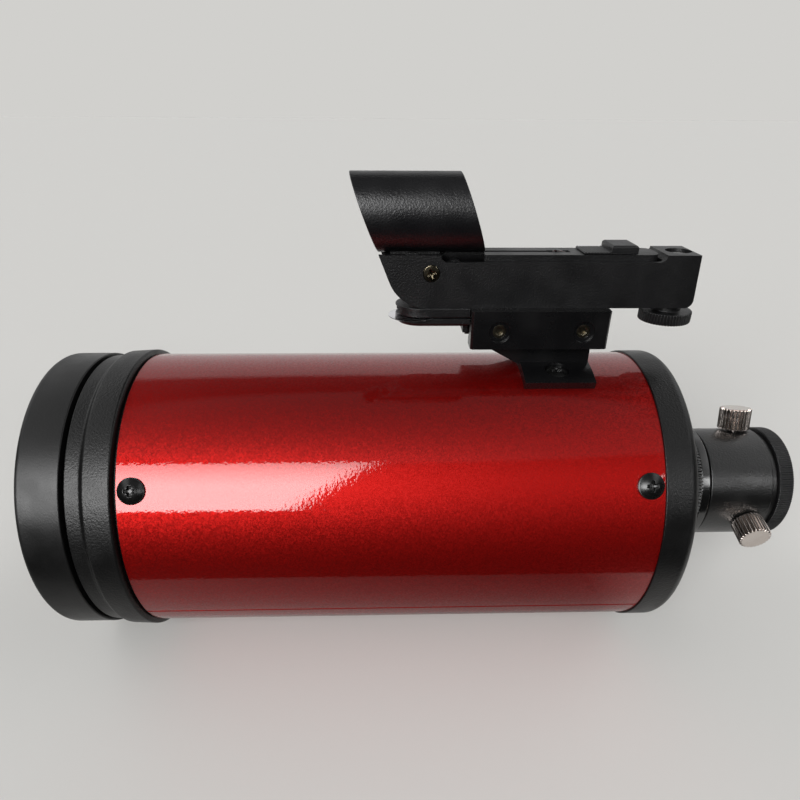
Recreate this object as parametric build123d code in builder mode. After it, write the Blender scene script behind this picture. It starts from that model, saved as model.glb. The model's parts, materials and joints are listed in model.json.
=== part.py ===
from build123d import *
from math import cos, pi, radians, sin, sqrt, tan
import os

os.makedirs("parts", exist_ok=True)

# A short Maksutov telescope tube with a red-dot finder, for a tabletop Dobsonian base.
# Frame: the X axis is the optical axis, with the sky towards -X and the eyepiece
# towards +X, and +Z points from the axis to the finder. The origin is on the optical
# axis, level with the middle of the side bar. Millimetres.

# ---------------------------------------------------------------- fits and fasteners
slip = 0.08  # radial clearance of what slides or turns by hand
running = 0.05  # radial clearance of a shaft in its bearing
seat_gap = 0.05  # radial gap of a spigot in the tube
easy = 0.2  # side clearance of flat runners
free_gap = 0.3  # gap between moving faces that never touch
face_gap = 0.1  # gap between end faces that nearly meet
tube_screw_radius = 1.9
tube_screw_head_radius = 3.8
tube_screw_head_height = 1.9
tube_screw_length = 5.5
screw_end_gap = 1.0  # free depth past a screw's end
hole_gap = 0.1  # radial gap of screws in the tube's holes
nut_end = 0.6  # screw's end past its nut
small_screw_radius = 1.5
nut_half_width = 2.75
bar_nut_half_width = 3.15
nut_corner = 3.3  # a nut touches the tube at this distance from its middle
nut_height = 2.4

# ---------------------------------------------------------------- tube and front cell
tube_radius = 45.0
tube_wall = 1.2
tube_length = 152.8
tube_front = -73.9
seam_angle = 118.0  # angles are from +Z towards -Y
seam_width = 0.7
seam_depth = 0.3
screw_angles = (60.0, 180.0, 300.0)
screw_inset = 4.35
spigot_length = 8.0
spigot_wall = 2.7

cell_lip = 0.1  # how far the cell's edge stands above the tube
ring_rise = 1.4  # ring's greatest height above the tube
ring_front_rise = 1.0
ring_bevel = 1.1
ring_groove_run = 1.3  # length of the groove between the nose and the ring
ring_groove_mid = 0.9
ring_length = 10.1
nose_length = 4.3
nose_step = 0.4  # how far the nose lies below the tube's surface
insert_step = 2.0  # insert's step below the nose
insert_length = 9.2
cell_wall = 6.0  # wall between the insert's outside and the lens
lens_gap = 0.1
lens_setback = 8.0  # lens seat before the tube's front edge
ledge_width = 2.0
ledge_length = 3.0

lens_front_curve = 105.0
lens_rear_curve = 108.0
lens_thickness = 8.0
lens_flat = 2.2  # width of the flat edge on the rear face, where it seats
lens_ring_length = 2.6
ring_slot_width = 1.6
ring_slot_depth = 1.0
spot_radius = 9.5
spot_thickness = 0.3
baffle_base_radius = 12.0
baffle_tip_radius = 10.6
baffle_wall = 1.0
baffle_length = 15.0

cap_stand = 0.3  # how far the cap stands above the tube
cap_length = 12.4
cap_end = 2.5
cap_joint_gap = 0.9  # open groove between the cap's rim and the nose
cap_edge = 0.8

# ---------------------------------------------------------------- rear cell and focuser
rear_stand = 0.5  # how far the rear cell stands above the tube
rear_length = 9.9
rear_bevel_length = 2.1
rear_bevel_depth = 1.9
rear_wall = 4.0
boss_radius = 24.0
boss_length = 1.9

neck_radius = 16.5
neck_bore = 12.3
neck_flange_radius = 22.0
neck_flange = 2.8
neck_tail_radius = 15.5
neck_tail_bore = 13.0
neck_tail_length = 8.9
neck_seat = 3.5  # length of the baffle tube's seat in the neck

focus_radius = 20.5
focus_length = 11.4
focus_knurl_count = 110
focus_knurl_depth = 0.45
focus_edge = 0.6
groove_radius = 18.6
pin_radius = 1.0
pin_end_gap = 0.6  # gap between a pin's end and the groove's floor
focus_travel = 3.0
collar_radius = 19.4
collar_length = 2.8
collar_edge = 0.3

bore_radius = 15.95  # 31.75 mm eyepiece barrel with its clearance
holder_radius = 18.4
holder_length = 20.5
holder_gap = 0.9  # dark gap between collar and holder
holder_rim_radius = 17.5
holder_rim_length = 1.9
holder_edge = 0.3

mirror_radius = 37.0
mirror_curve = 220.0
mirror_thickness = 9.5
mirror_setback = 9.4  # mirror's rear face before the tube's rear edge
sleeve_radius = 12.0
sleeve_before_mirror = 12.5
sleeve_past_pins = 1.5
carriage_radius = 32.0
carriage_thickness = 3.5
retainer_radius = 14.5
retainer_length = 2.6
baffle_tube_radius = 9.0
baffle_tube_bore = 8.2
baffle_tube_length = 113.0

plug_radius = 18.7
plug_rim_length = 4.8
plug_body_length = 13.5
plug_body_wall = 1.6
plug_web = 2.0  # thickness of the plug's end wall
plug_edge = 0.7
plug_tip_edge = 0.4

thumb_angles = (-14.0, 106.0)
thumb_inset = 14.5  # from the holder's front face
thumb_head_radius = 5.0
thumb_head_height = 7.3
thumb_stand = 0.4  # head's underside above the holder
thumb_tip_gap = 0.5  # backed-off tip above the bore
thumb_knurl_count = 24
thumb_knurl_depth = 0.4
thumb_edge = 0.15
thumb_shank_radius = 1.95

# ---------------------------------------------------------------- side bar
bar_length = 64.0
bar_height = 11.0  # bar's outer face above the tube
bar_half_width = 22.0
bar_taper = 15.0
bar_dovetail = 10.0
bar_relief_half = 9.0
bar_relief = 1.5
bar_saddle_depth = 6.8  # how far the saddle's sides come down round the tube
tripod_radius = 2.55
tripod_depth = 8.0
bar_screw_spacing = 44.0
bar_screw_radius = 2.0
bar_screw_head_radius = 3.6
bar_screw_head_height = 2.2
bar_counterbore = 4.0

# ---------------------------------------------------------------- finder foot and clamp
foot_front = 41.3
foot_length = 21.0
foot_thickness = 2.4
foot_half_angle = 20.5
foot_screw_angle = 13.0
foot_screw_head_radius = 3.2
foot_screw_head_height = 1.1
foot_recess_radius = 3.65
foot_recess = 1.3
foot_edge = 1.4
riser_sink = 1.6  # riser's lower end below the foot's top
riser_half_width = 6.0
riser_slope = 23.0
rail_half_width = 5.5
rail_neck_half = 4.0
rail_neck_height = 2.1
rail_slope_height = 1.5
rail_head_height = 3.7
rail_gap = 0.15

clamp_front = 25.3
clamp_length = 40.4
clamp_half_width = 10.4
clamp_height = 11.2
clamp_chamfer = 0.6
clamp_screw_height = 5.1  # above the clamp's underside
clamp_screw_inset = 8.4
clamp_screw_rear_inset = 7.4
clamp_screw_radius = 2.0
clamp_recess_radius = 3.1
clamp_recess = 0.9
clamp_screw_sink = 0.3  # screw's end below the recess's floor
channel_screw_inset = 10.0
channel_screw_radius = 1.2
channel_screw_reach = 1.6
channel_screw_head_radius = 2.3
channel_screw_head_height = 0.8
hex_flats = 2.5
hex_depth = 2.0

# ---------------------------------------------------------------- finder channel and sight
channel_lift = 18.6  # channel's underside above the tube
channel_height = 14.8
channel_half_width = 7.0
channel_wall = 1.45
channel_floor = 1.5
channel_front = -1.2
channel_length = 90.6
channel_drop = 1.9  # how far the low wall lies under the ends
notch_front = 16.1
notch_run = 1.6
block_run = 2.6  # length of the notch's curve up to the rear block
block_front = 79.9
block_bulge = 0.9
channel_lean = 0.6
channel_corner = 2.2
corner_mid = 0.64
nose_face_run = 2.9  # channel's sloping front face
nose_face_height = 7.4
nose_curve_run = 13.2
nose_curve_mid_run = 6.1
nose_curve_mid_height = 2.85

pivot_x = 13.6
pivot_height = 9.8  # above the channel's underside, as are the heights that follow
pivot_radius = 1.2
pivot_head_radius = 2.3
pivot_head_height = 0.6
pivot_recess_radius = 2.5
pivot_recess = 0.6
pivot_length = 3.2

body_half_width = 5.2
body_top = 14.6
body_bottom = 3.6
body_front = 0.4
body_rear = 78.6
body_corner = 2.9
body_nose_run = 6.0
body_room = 0.5  # free length before and behind the body
deck_front = 28.5
deck_thickness = 1.9
core_half_width = 4.3
front_block_rear = 16.6
well_depth = 2.6  # well between the front block and the deck
lump_x = 20.3
lump_radius = 2.2
lump_height = 1.1
tab_front = 6.5
tab_length = 3.3
tab_rise = 0.5
tab_width = 0.8
tongue_height = 6.9
tongue_thickness = 3.0
tongue_half_width = 3.2
tongue_end = 88.2
tongue_hole_radius = 1.9
tilt_room = 2.4  # free height above and below the tongue
light_groove_half = 1.0
light_groove_depth = 0.7
slot_half_width = 1.6

hood_radius = 10.4
hood_wall = 1.0
hood_center_x = 10.1
hood_length = 30.4
hood_rake = 20.0
saddle_front = 2.0
saddle_length = 14.0
saddle_half_width = 3.4
saddle_rise = 0.6
sight_lens_x = 3.0
sight_lens_thickness = 1.6
sight_lens_tilt = 4.0
sight_lens_gap = 0.15
led_radius = 1.2
led_length = 3.6
led_x = 50.5
led_tilt = 12.0
led_pocket_length = 6.4
led_pocket_depth = 2.4

slider_rear = 72.0
slider_block_length = 7.6
slider_grip_length = 7.6
slider_half_width = 5.0
slider_gap = 0.1  # slider's underside above the body
slider_grip_half_width = 4.8
slider_height = 2.3
slider_grip_height = 0.6
slider_chamfer = 0.5
slider_tooth_count = 9
slider_travel = 3.0
slider_stem_length = 5.0
slider_stem_depth = 3.0

knob_x = 85.5
knob_radius = 7.6
knob_drop = 5.4  # knob's bottom below the channel's underside
knob_height = 3.3
knob_knurl_count = 72
knob_knurl_depth = 0.35
knob_hub_radius = 4.2
adjust_end = 0.8  # screw's end above the recess's floor
adjust_radius = 1.45
top_recess_radius = 3.7
top_recess = 1.5
clip_radius = 2.9
clip_thickness = 0.5
clip_notch_radius = 0.55

pod_center_x = 10.75
pod_radius = 7.2
pod_split_drop = 2.8
pod_drop = 5.3
film_room = 0.35
film_radius = 7.0
film_x = 8.4
film_thickness = 0.18
cell_battery_radius = 6.0
cell_battery_height = 1.9
tray_floor_gap = 0.05  # gap under the cell
tray_edge = 0.8
rib_front = 17.2
rib_neck_half = 2.0
rib_head_half = 3.4
rib_head_height = 0.7
rib_neck_height = 1.5
pull_tab_thickness = 1.5
pull_tab_half_width = 3.0
pull_tab_drop = 3.1  # below the tray's underside

# ---------------------------------------------------------------- worked-out places
tube_rear = tube_front + tube_length
tube_bore = tube_radius - tube_wall
front_screw_x = tube_front + screw_inset
rear_screw_x = tube_rear - screw_inset
spigot_radius = tube_bore - seat_gap
ring_front = tube_front - ring_length
nose_front = ring_front - nose_length
insert_front = nose_front - insert_length
nose_radius = tube_radius - nose_step
insert_radius = nose_radius - insert_step
lens_radius = insert_radius - cell_wall - lens_gap
lens_clear_radius = lens_radius - lens_flat
aperture_radius = lens_radius - ledge_width
cap_radius = tube_radius + cap_stand
rear_radius = tube_radius + rear_stand
bar_face = tube_radius + bar_height


def sag(curve, radius):
    """Depth of a spherical surface of a given curve at a radius."""
    return curve - sqrt(curve**2 - radius**2)


lens_seat = tube_front - lens_setback
lens_rear_vertex = lens_seat + sag(lens_rear_curve, lens_clear_radius)
lens_front_vertex = lens_rear_vertex - lens_thickness
lens_edge_front = lens_front_vertex - sag(lens_front_curve, lens_radius)
cap_rear = nose_front - cap_joint_gap
cap_front = cap_rear - cap_length

rear_face = tube_rear + rear_length
boss_face = rear_face + boss_length
neck_front = rear_face - rear_wall - neck_flange
focus_front = boss_face + free_gap
focus_rear = focus_front + focus_length
neck_shoulder = focus_rear + face_gap
collar_rear = neck_shoulder + collar_length
holder_front = collar_rear + holder_gap
neck_end = neck_shoulder + neck_tail_length
pin_x = (focus_front + focus_rear) / 2
pin_room = focus_travel + pin_radius + easy
sleeve_rear = pin_x + sleeve_past_pins
mirror_rear = tube_rear - mirror_setback
sleeve_front = mirror_rear - sleeve_before_mirror
holder_rear = holder_front + holder_length
holder_end = holder_rear + holder_rim_length
plug_front = holder_end + face_gap
plug_body = bore_radius - slip
thumb_x = holder_front + thumb_inset
thumb_seat = holder_radius + thumb_stand
baffle_tube_rear = neck_shoulder + neck_seat

channel_floor_z = tube_radius + channel_lift
pivot_z = channel_floor_z + pivot_height
body_top_z = channel_floor_z + body_top
body_bottom_z = channel_floor_z + body_bottom
tongue_z = channel_floor_z + tongue_height
knob_bottom_z = channel_floor_z - knob_drop
pod_split_z = channel_floor_z - pod_split_drop
pod_bottom_z = channel_floor_z - pod_drop
clamp_bottom_z = channel_floor_z - clamp_height
rail_top_z = clamp_bottom_z + rail_neck_height + rail_slope_height + rail_head_height
channel_top_z = channel_floor_z + channel_height
channel_rear = channel_front + channel_length
hood_z = body_top_z + hood_radius
pod_rear = clamp_front - face_gap
nose_z = channel_floor_z + nose_face_height


# ---------------------------------------------------------------- shared shapes
def band(x_start, x_end, inner, outer, mode=Mode.ADD):
    """Axial section of a plain ring, drawn in a Plane.XZ sketch."""
    with Locations(((x_start + x_end) / 2, (inner + outer) / 2)):
        Rectangle(x_end - x_start, outer - inner, mode=mode)


def knurl_outline(radius, depth, count):
    """Closed outline of a straight-knurled rim: count ridges round a circle."""
    points = []
    for i in range(count):
        for part_turn, r in ((0.0, radius - depth), (0.3, radius), (0.7, radius)):
            a = 2 * pi * (i + part_turn) / count
            points.append((r * cos(a), r * sin(a)))
    Polygon(*points, align=None)


def radial_plane(x, angle, radius):
    """Plane at a radius from the optical axis that faces outwards, x along the tube."""
    a = radians(angle)
    outwards = Vector(0, -sin(a), cos(a))
    return Plane(origin=Vector(x, 0, 0) + outwards * radius, x_dir=(1, 0, 0), z_dir=outwards)


def cross_screw(head_radius, head_height, shank_radius, shank_length):
    """Pan-head screw with a cross recess, its head's seat at Z = 0 and its shank below."""
    crown = head_height * 0.45
    crown_curve = (head_radius**2 + crown**2) / (2 * crown)
    with BuildPart() as screw:
        with BuildSketch(Plane.XZ):
            with BuildLine():
                Polyline(
                    (0, head_height),
                    (0, -shank_length),
                    (shank_radius, -shank_length),
                    (shank_radius, 0),
                    (head_radius, 0),
                    (head_radius, head_height - crown),
                )
                ThreePointArc(
                    (head_radius, head_height - crown),
                    (head_radius / 2, head_height - sag(crown_curve, head_radius / 2)),
                    (0, head_height),
                )
            make_face()
        revolve(axis=Axis.Z)
        with BuildSketch(Plane.XY.offset(head_height * 0.4)):
            Rectangle(head_radius * 1.15, head_radius * 0.27)
            Rectangle(head_radius * 0.27, head_radius * 1.15)
        extrude(amount=head_height, mode=Mode.SUBTRACT)
    return screw.part


def hex_nut(half_width, height, hole_radius):
    """Hexagon nut with its seat at Z = 0, below the plane."""
    with BuildPart() as nut:
        with BuildSketch():
            RegularPolygon(half_width, 6, major_radius=False)
            Circle(hole_radius, mode=Mode.SUBTRACT)
        extrude(amount=-height)
    return nut.part


def pod_outline(grow=0.0):
    """Round-fronted plan of the battery pod, drawn in an XY sketch."""
    half = pod_radius + grow
    with Locations((pod_center_x, 0)):
        Circle(half)
    with Locations(((pod_center_x + pod_rear) / 2, 0)):
        Rectangle(pod_rear - pod_center_x, 2 * half)


# ================================================================ front of the tube
with BuildPart() as dust_cap:
    with BuildSketch(Plane.XZ):
        with BuildLine():
            Polyline(
                (cap_front + cap_end, 0),
                (cap_front, 0),
                (cap_front, cap_radius - cap_edge),
                (cap_front + cap_edge, cap_radius),
                (cap_rear, cap_radius),
                (cap_rear, insert_radius + slip),
                (cap_front + cap_end, insert_radius + slip),
                close=True,
            )
        make_face()
    revolve(axis=Axis.X)
dust_cap.part.label = "dust_cap"
export_step(dust_cap.part, "parts/dust_cap.step")

with BuildPart() as front_cell:
    ring_start = tube_radius + ring_front_rise
    ring_top = tube_radius + ring_rise
    with BuildSketch(Plane.XZ):
        with BuildLine():
            Polyline(
                (tube_front, tube_radius + cell_lip),
                (tube_front, spigot_radius),
                (tube_front + spigot_length, spigot_radius),
                (tube_front + spigot_length, spigot_radius - spigot_wall),
                (tube_front, aperture_radius),
                (lens_seat + ledge_length, aperture_radius),
                (lens_seat, aperture_radius),
                (lens_seat, lens_radius + lens_gap),
                (insert_front, lens_radius + lens_gap),
                (insert_front, insert_radius),
                (nose_front, insert_radius),
                (nose_front, nose_radius),
                (ring_front, nose_radius),
            )
            ThreePointArc(
                (ring_front, nose_radius),
                (ring_front + ring_groove_mid, nose_radius + ring_groove_mid / 2),
                (ring_front + ring_groove_run, ring_start),
            )
            Polyline(
                (ring_front + ring_groove_run, ring_start),
                (tube_front - ring_bevel, ring_top),
                (tube_front, tube_radius + cell_lip),
            )
        make_face()
    revolve(axis=Axis.X)
    for angle in screw_angles:
        with Locations(radial_plane(front_screw_x, angle, tube_radius)):
            Hole(tube_screw_radius, depth=tube_screw_length + screw_end_gap)
front_cell.part.label = "front_cell"
export_step(front_cell.part, "parts/front_cell.step")

with BuildPart() as corrector_lens:
    front_mid = lens_front_vertex - sag(lens_front_curve, lens_radius / 2)
    rear_mid = lens_rear_vertex - sag(lens_rear_curve, lens_clear_radius / 2)
    with BuildSketch(Plane.XZ):
        with BuildLine():
            ThreePointArc(
                (lens_front_vertex, 0),
                (front_mid, lens_radius / 2),
                (lens_edge_front, lens_radius),
            )
            Polyline(
                (lens_edge_front, lens_radius),
                (lens_seat, lens_radius),
                (lens_seat, lens_clear_radius),
            )
            ThreePointArc(
                (lens_seat, lens_clear_radius),
                (rear_mid, lens_clear_radius / 2),
                (lens_rear_vertex, 0),
            )
            Line((lens_rear_vertex, 0), (lens_front_vertex, 0))
        make_face()
    revolve(axis=Axis.X)
corrector_lens.part.label = "corrector_lens"
export_step(corrector_lens.part, "parts/corrector_lens.step")

with BuildPart() as lens_ring:
    with BuildSketch(Plane.XZ):
        band(lens_edge_front - lens_ring_length, lens_edge_front, aperture_radius, lens_radius)
    revolve(axis=Axis.X)
    with BuildSketch(Plane.YZ.offset(lens_edge_front - lens_ring_length)):
        Rectangle(2 * lens_radius, ring_slot_width)
        Circle(aperture_radius - 1, mode=Mode.SUBTRACT)
    extrude(amount=ring_slot_depth, mode=Mode.SUBTRACT)
lens_ring.part.label = "lens_ring"
export_step(lens_ring.part, "parts/lens_ring.step")

with BuildPart() as secondary_mirror:
    spot_edge = lens_rear_vertex - sag(lens_rear_curve, spot_radius)
    spot_mid = lens_rear_vertex - sag(lens_rear_curve, spot_radius / 2)
    with BuildSketch(Plane.XZ):
        with BuildLine():
            ThreePointArc(
                (lens_rear_vertex, 0), (spot_mid, spot_radius / 2), (spot_edge, spot_radius)
            )
            Line((spot_edge, spot_radius), (spot_edge + spot_thickness, spot_radius))
            ThreePointArc(
                (spot_edge + spot_thickness, spot_radius),
                (spot_mid + spot_thickness, spot_radius / 2),
                (lens_rear_vertex + spot_thickness, 0),
            )
            Line((lens_rear_vertex + spot_thickness, 0), (lens_rear_vertex, 0))
        make_face()
    revolve(axis=Axis.X)
secondary_mirror.part.label = "secondary_mirror"
export_step(secondary_mirror.part, "parts/secondary_mirror.step")

with BuildPart() as secondary_baffle:
    baffle_base = lens_rear_vertex - sag(lens_rear_curve, baffle_base_radius - baffle_wall)
    baffle_tip = baffle_base + baffle_length
    with BuildSketch(Plane.XZ):
        with BuildLine():
            Polyline(
                (baffle_base, baffle_base_radius),
                (baffle_tip, baffle_tip_radius),
                (baffle_tip, baffle_tip_radius - baffle_wall),
                (baffle_base, baffle_base_radius - baffle_wall),
                close=True,
            )
        make_face()
    revolve(axis=Axis.X)
secondary_baffle.part.label = "secondary_baffle"
export_step(secondary_baffle.part, "parts/secondary_baffle.step")

# ================================================================ main tube
foot_mid = foot_front + foot_length / 2
with BuildPart() as main_tube:
    with BuildSketch(Plane.YZ.offset(tube_front)):
        Circle(tube_radius)
        Circle(tube_bore, mode=Mode.SUBTRACT)
    extrude(amount=tube_length)
    for x in (front_screw_x, rear_screw_x):
        for angle in screw_angles:
            with Locations(radial_plane(x, angle, tube_radius + 1)):
                Hole(tube_screw_radius + hole_gap, depth=tube_wall + 2)
    for angle in (-foot_screw_angle, foot_screw_angle):
        with Locations(radial_plane(foot_mid, angle, tube_radius + 1)):
            Hole(small_screw_radius + hole_gap, depth=tube_wall + 2)
    for side in (-1, 1):
        with Locations(radial_plane(side * bar_screw_spacing / 2, -90, tube_radius + 1)):
            Hole(bar_screw_radius + hole_gap, depth=tube_wall + 2)
    with Locations(radial_plane(tube_front + tube_length / 2, seam_angle, tube_radius)):
        Box(tube_length + 1, seam_width, 2 * seam_depth, mode=Mode.SUBTRACT)
main_tube.part.label = "main_tube"
export_step(main_tube.part, "parts/main_tube.step")

tube_screw = cross_screw(
    tube_screw_head_radius, tube_screw_head_height, tube_screw_radius, tube_screw_length
)
with BuildPart() as front_screws:
    for angle in screw_angles:
        with Locations(radial_plane(front_screw_x, angle, tube_radius)):
            add(tube_screw)
front_screws.part.label = "front_screws"
export_step(front_screws.part, "parts/front_screws.step")

with BuildPart() as rear_screws:
    for angle in screw_angles:
        with Locations(radial_plane(rear_screw_x, angle, tube_radius)):
            add(tube_screw)
rear_screws.part.label = "rear_screws"
export_step(rear_screws.part, "parts/rear_screws.step")

# ================================================================ rear cell and optics
with BuildPart() as rear_cell:
    with BuildSketch(Plane.XZ):
        with BuildLine():
            Polyline(
                (tube_rear, rear_radius),
                (rear_face - rear_bevel_length, rear_radius),
            )
            ThreePointArc(
                (rear_face - rear_bevel_length, rear_radius),
                (
                    rear_face - rear_bevel_length * 0.35,
                    rear_radius - rear_bevel_depth * 0.4,
                ),
                (rear_face, rear_radius - rear_bevel_depth),
            )
            Polyline(
                (rear_face, rear_radius - rear_bevel_depth),
                (rear_face, boss_radius),
                (boss_face, boss_radius),
                (boss_face, neck_radius),
                (rear_face - rear_wall, neck_radius),
                (rear_face - rear_wall, spigot_radius - spigot_wall),
                (tube_rear - spigot_length, spigot_radius - spigot_wall),
                (tube_rear - spigot_length, spigot_radius),
                (tube_rear, spigot_radius),
                (tube_rear, rear_radius),
            )
        make_face()
    revolve(axis=Axis.X)
    for angle in screw_angles:
        with Locations(radial_plane(rear_screw_x, angle, tube_radius)):
            Hole(tube_screw_radius, depth=tube_screw_length + screw_end_gap)
rear_cell.part.label = "rear_cell"
export_step(rear_cell.part, "parts/rear_cell.step")

with BuildPart() as rear_neck:
    with BuildSketch(Plane.XZ):
        band(neck_front, neck_shoulder, neck_bore, neck_radius)
        band(neck_front, rear_face - rear_wall, neck_bore, neck_flange_radius)
        band(neck_shoulder, neck_end, neck_tail_bore, neck_tail_radius)
        band(neck_shoulder, baffle_tube_rear, baffle_tube_radius, neck_tail_radius)
    revolve(axis=Axis.X)
    for i in range(3):
        with Locations(radial_plane(pin_x, 120 * i, neck_radius)):
            Box(2 * pin_room, 2 * (pin_radius + running), 2 * (neck_radius - neck_bore) + 1,
                mode=Mode.SUBTRACT)
rear_neck.part.label = "rear_neck"
export_step(rear_neck.part, "parts/rear_neck.step")

with BuildPart() as baffle_tube:
    with BuildSketch(Plane.XZ):
        band(baffle_tube_rear - baffle_tube_length, baffle_tube_rear, baffle_tube_bore, baffle_tube_radius)
    revolve(axis=Axis.X)
baffle_tube.part.label = "baffle_tube"
export_step(baffle_tube.part, "parts/baffle_tube.step")

with BuildPart() as mirror_carriage:
    with BuildSketch(Plane.XZ):
        band(sleeve_front, sleeve_rear, baffle_tube_radius + running, sleeve_radius)
        band(mirror_rear, mirror_rear + carriage_thickness, sleeve_radius, carriage_radius)
    revolve(axis=Axis.X)
    for i in range(3):
        with Locations(radial_plane(pin_x, 120 * i, sleeve_radius)):
            Hole(pin_radius, depth=sleeve_radius - baffle_tube_radius + 1)
mirror_carriage.part.label = "mirror_carriage"
export_step(mirror_carriage.part, "parts/mirror_carriage.step")

with BuildPart() as drive_pins:
    for i in range(3):
        with BuildSketch(radial_plane(pin_x, 120 * i, baffle_tube_radius + 2 * running)):
            Circle(pin_radius)
        extrude(amount=groove_radius - pin_end_gap - baffle_tube_radius - 2 * running)
drive_pins.part.label = "drive_pins"
export_step(drive_pins.part, "parts/drive_pins.step")

mirror_edge = mirror_rear - mirror_thickness
mirror_vertex = mirror_edge + sag(mirror_curve, mirror_radius)


def mirror_face(radius):
    """Position along the axis of the primary mirror's face at a radius."""
    return mirror_vertex - sag(mirror_curve, radius)


with BuildPart() as primary_mirror:
    mirror_hole = sleeve_radius + running
    middle = (mirror_radius + mirror_hole) / 2
    with BuildSketch(Plane.XZ):
        with BuildLine():
            ThreePointArc(
                (mirror_face(mirror_hole), mirror_hole),
                (mirror_face(middle), middle),
                (mirror_edge, mirror_radius),
            )
            Polyline(
                (mirror_edge, mirror_radius),
                (mirror_rear, mirror_radius),
                (mirror_rear, mirror_hole),
                (mirror_face(mirror_hole), mirror_hole),
            )
        make_face()
    revolve(axis=Axis.X)
primary_mirror.part.label = "primary_mirror"
export_step(primary_mirror.part, "parts/primary_mirror.step")

with BuildPart() as mirror_retainer:
    retainer_rear = mirror_face(retainer_radius)
    with BuildSketch(Plane.XZ):
        band(retainer_rear - retainer_length, retainer_rear, sleeve_radius, retainer_radius)
    revolve(axis=Axis.X)
mirror_retainer.part.label = "mirror_retainer"
export_step(mirror_retainer.part, "parts/mirror_retainer.step")

# ================================================================ focuser and eyepiece end
with BuildPart() as focus_ring:
    with BuildSketch(Plane.YZ.offset(focus_front)):
        knurl_outline(focus_radius, focus_knurl_depth, focus_knurl_count)
        Circle(neck_radius + slip, mode=Mode.SUBTRACT)
    extrude(amount=focus_length)
    with BuildSketch(Plane.XZ):
        band(pin_x - pin_room, pin_x + pin_room, neck_radius, groove_radius)
        for x_end, side in ((focus_front, 1), (focus_rear, -1)):
            with BuildLine():
                Polyline(
                    (x_end, focus_radius - focus_edge),
                    (x_end + side * focus_edge, focus_radius + 0.01),
                    (x_end - side * 1.0, focus_radius + 1.0),
                    (x_end - side * 1.0, focus_radius - focus_edge),
                    close=True,
                )
            make_face()
    revolve(axis=Axis.X, mode=Mode.SUBTRACT)
focus_ring.part.label = "focus_ring"
export_step(focus_ring.part, "parts/focus_ring.step")

with BuildPart() as neck_collar:
    with BuildSketch(Plane.XZ):
        band(neck_shoulder, collar_rear, neck_tail_radius, collar_radius)
    revolve(axis=Axis.X)
    chamfer(neck_collar.edges().filter_by(GeomType.CIRCLE).group_by(SortBy.RADIUS)[-1], collar_edge)
neck_collar.part.label = "neck_collar"
export_step(neck_collar.part, "parts/neck_collar.step")

with BuildPart() as eyepiece_holder:
    with BuildSketch(Plane.XZ):
        with BuildLine():
            Polyline(
                (holder_front, neck_tail_radius),
                (holder_front, holder_radius - holder_edge),
                (holder_front + holder_edge, holder_radius),
                (holder_rear - holder_edge, holder_radius),
                (holder_rear, holder_radius - holder_edge),
                (holder_rear, holder_rim_radius),
                (holder_end, holder_rim_radius),
                (holder_end, bore_radius),
                (neck_end + face_gap, bore_radius),
                (neck_end + face_gap, neck_tail_radius),
                close=True,
            )
        make_face()
    revolve(axis=Axis.X)
    for angle in thumb_angles:
        with Locations(radial_plane(thumb_x, angle, holder_radius + 1)):
            Hole(thumb_shank_radius + running, depth=holder_radius + 1 - bore_radius + 1)
eyepiece_holder.part.label = "eyepiece_holder"
export_step(eyepiece_holder.part, "parts/eyepiece_holder.step")

with BuildPart() as eyepiece_plug:
    with BuildSketch(Plane.XZ):
        band(plug_front, plug_front + plug_rim_length, 0, plug_radius)
        band(plug_front, plug_front + plug_rim_length - plug_web, 0, plug_body - plug_body_wall,
             mode=Mode.SUBTRACT)
    revolve(axis=Axis.X)
    plug_rim = eyepiece_plug.edges().filter_by(GeomType.CIRCLE).group_by(SortBy.RADIUS)[-1]
    chamfer(plug_rim.sort_by(Axis.X)[-1], plug_edge)
eyepiece_plug.part.label = "eyepiece_plug"
export_step(eyepiece_plug.part, "parts/eyepiece_plug.step")

with BuildPart() as plug_sleeve:
    with BuildSketch(Plane.XZ):
        band(plug_front - plug_body_length, plug_front, plug_body - plug_body_wall, plug_body)
    revolve(axis=Axis.X)
    sleeve_tip = plug_sleeve.edges().filter_by(GeomType.CIRCLE).group_by(Axis.X)[0]
    chamfer(sleeve_tip, plug_tip_edge)
plug_sleeve.part.label = "plug_sleeve"
export_step(plug_sleeve.part, "parts/plug_sleeve.step")


def thumbscrew(angle):
    """Knurled thumbscrew in the eyepiece holder, its tip just short of the bore."""
    head_seat = radial_plane(thumb_x, angle, thumb_seat)
    with BuildPart() as screw:
        with BuildSketch(head_seat):
            knurl_outline(thumb_head_radius, thumb_knurl_depth, thumb_knurl_count)
        extrude(amount=thumb_head_height)
        with BuildSketch(head_seat):
            Circle(thumb_shank_radius)
        extrude(amount=-(thumb_seat - bore_radius - thumb_tip_gap))
        outer = screw.faces().sort_by(Axis(head_seat.origin, head_seat.z_dir))[-1]
        chamfer(outer.edges(), thumb_edge)
    return screw.part


thumbscrew_top = thumbscrew(thumb_angles[0])
thumbscrew_top.label = "thumbscrew_top"
export_step(thumbscrew_top, "parts/thumbscrew_top.step")

thumbscrew_side = thumbscrew(thumb_angles[1])
thumbscrew_side.label = "thumbscrew_side"
export_step(thumbscrew_side, "parts/thumbscrew_side.step")

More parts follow.
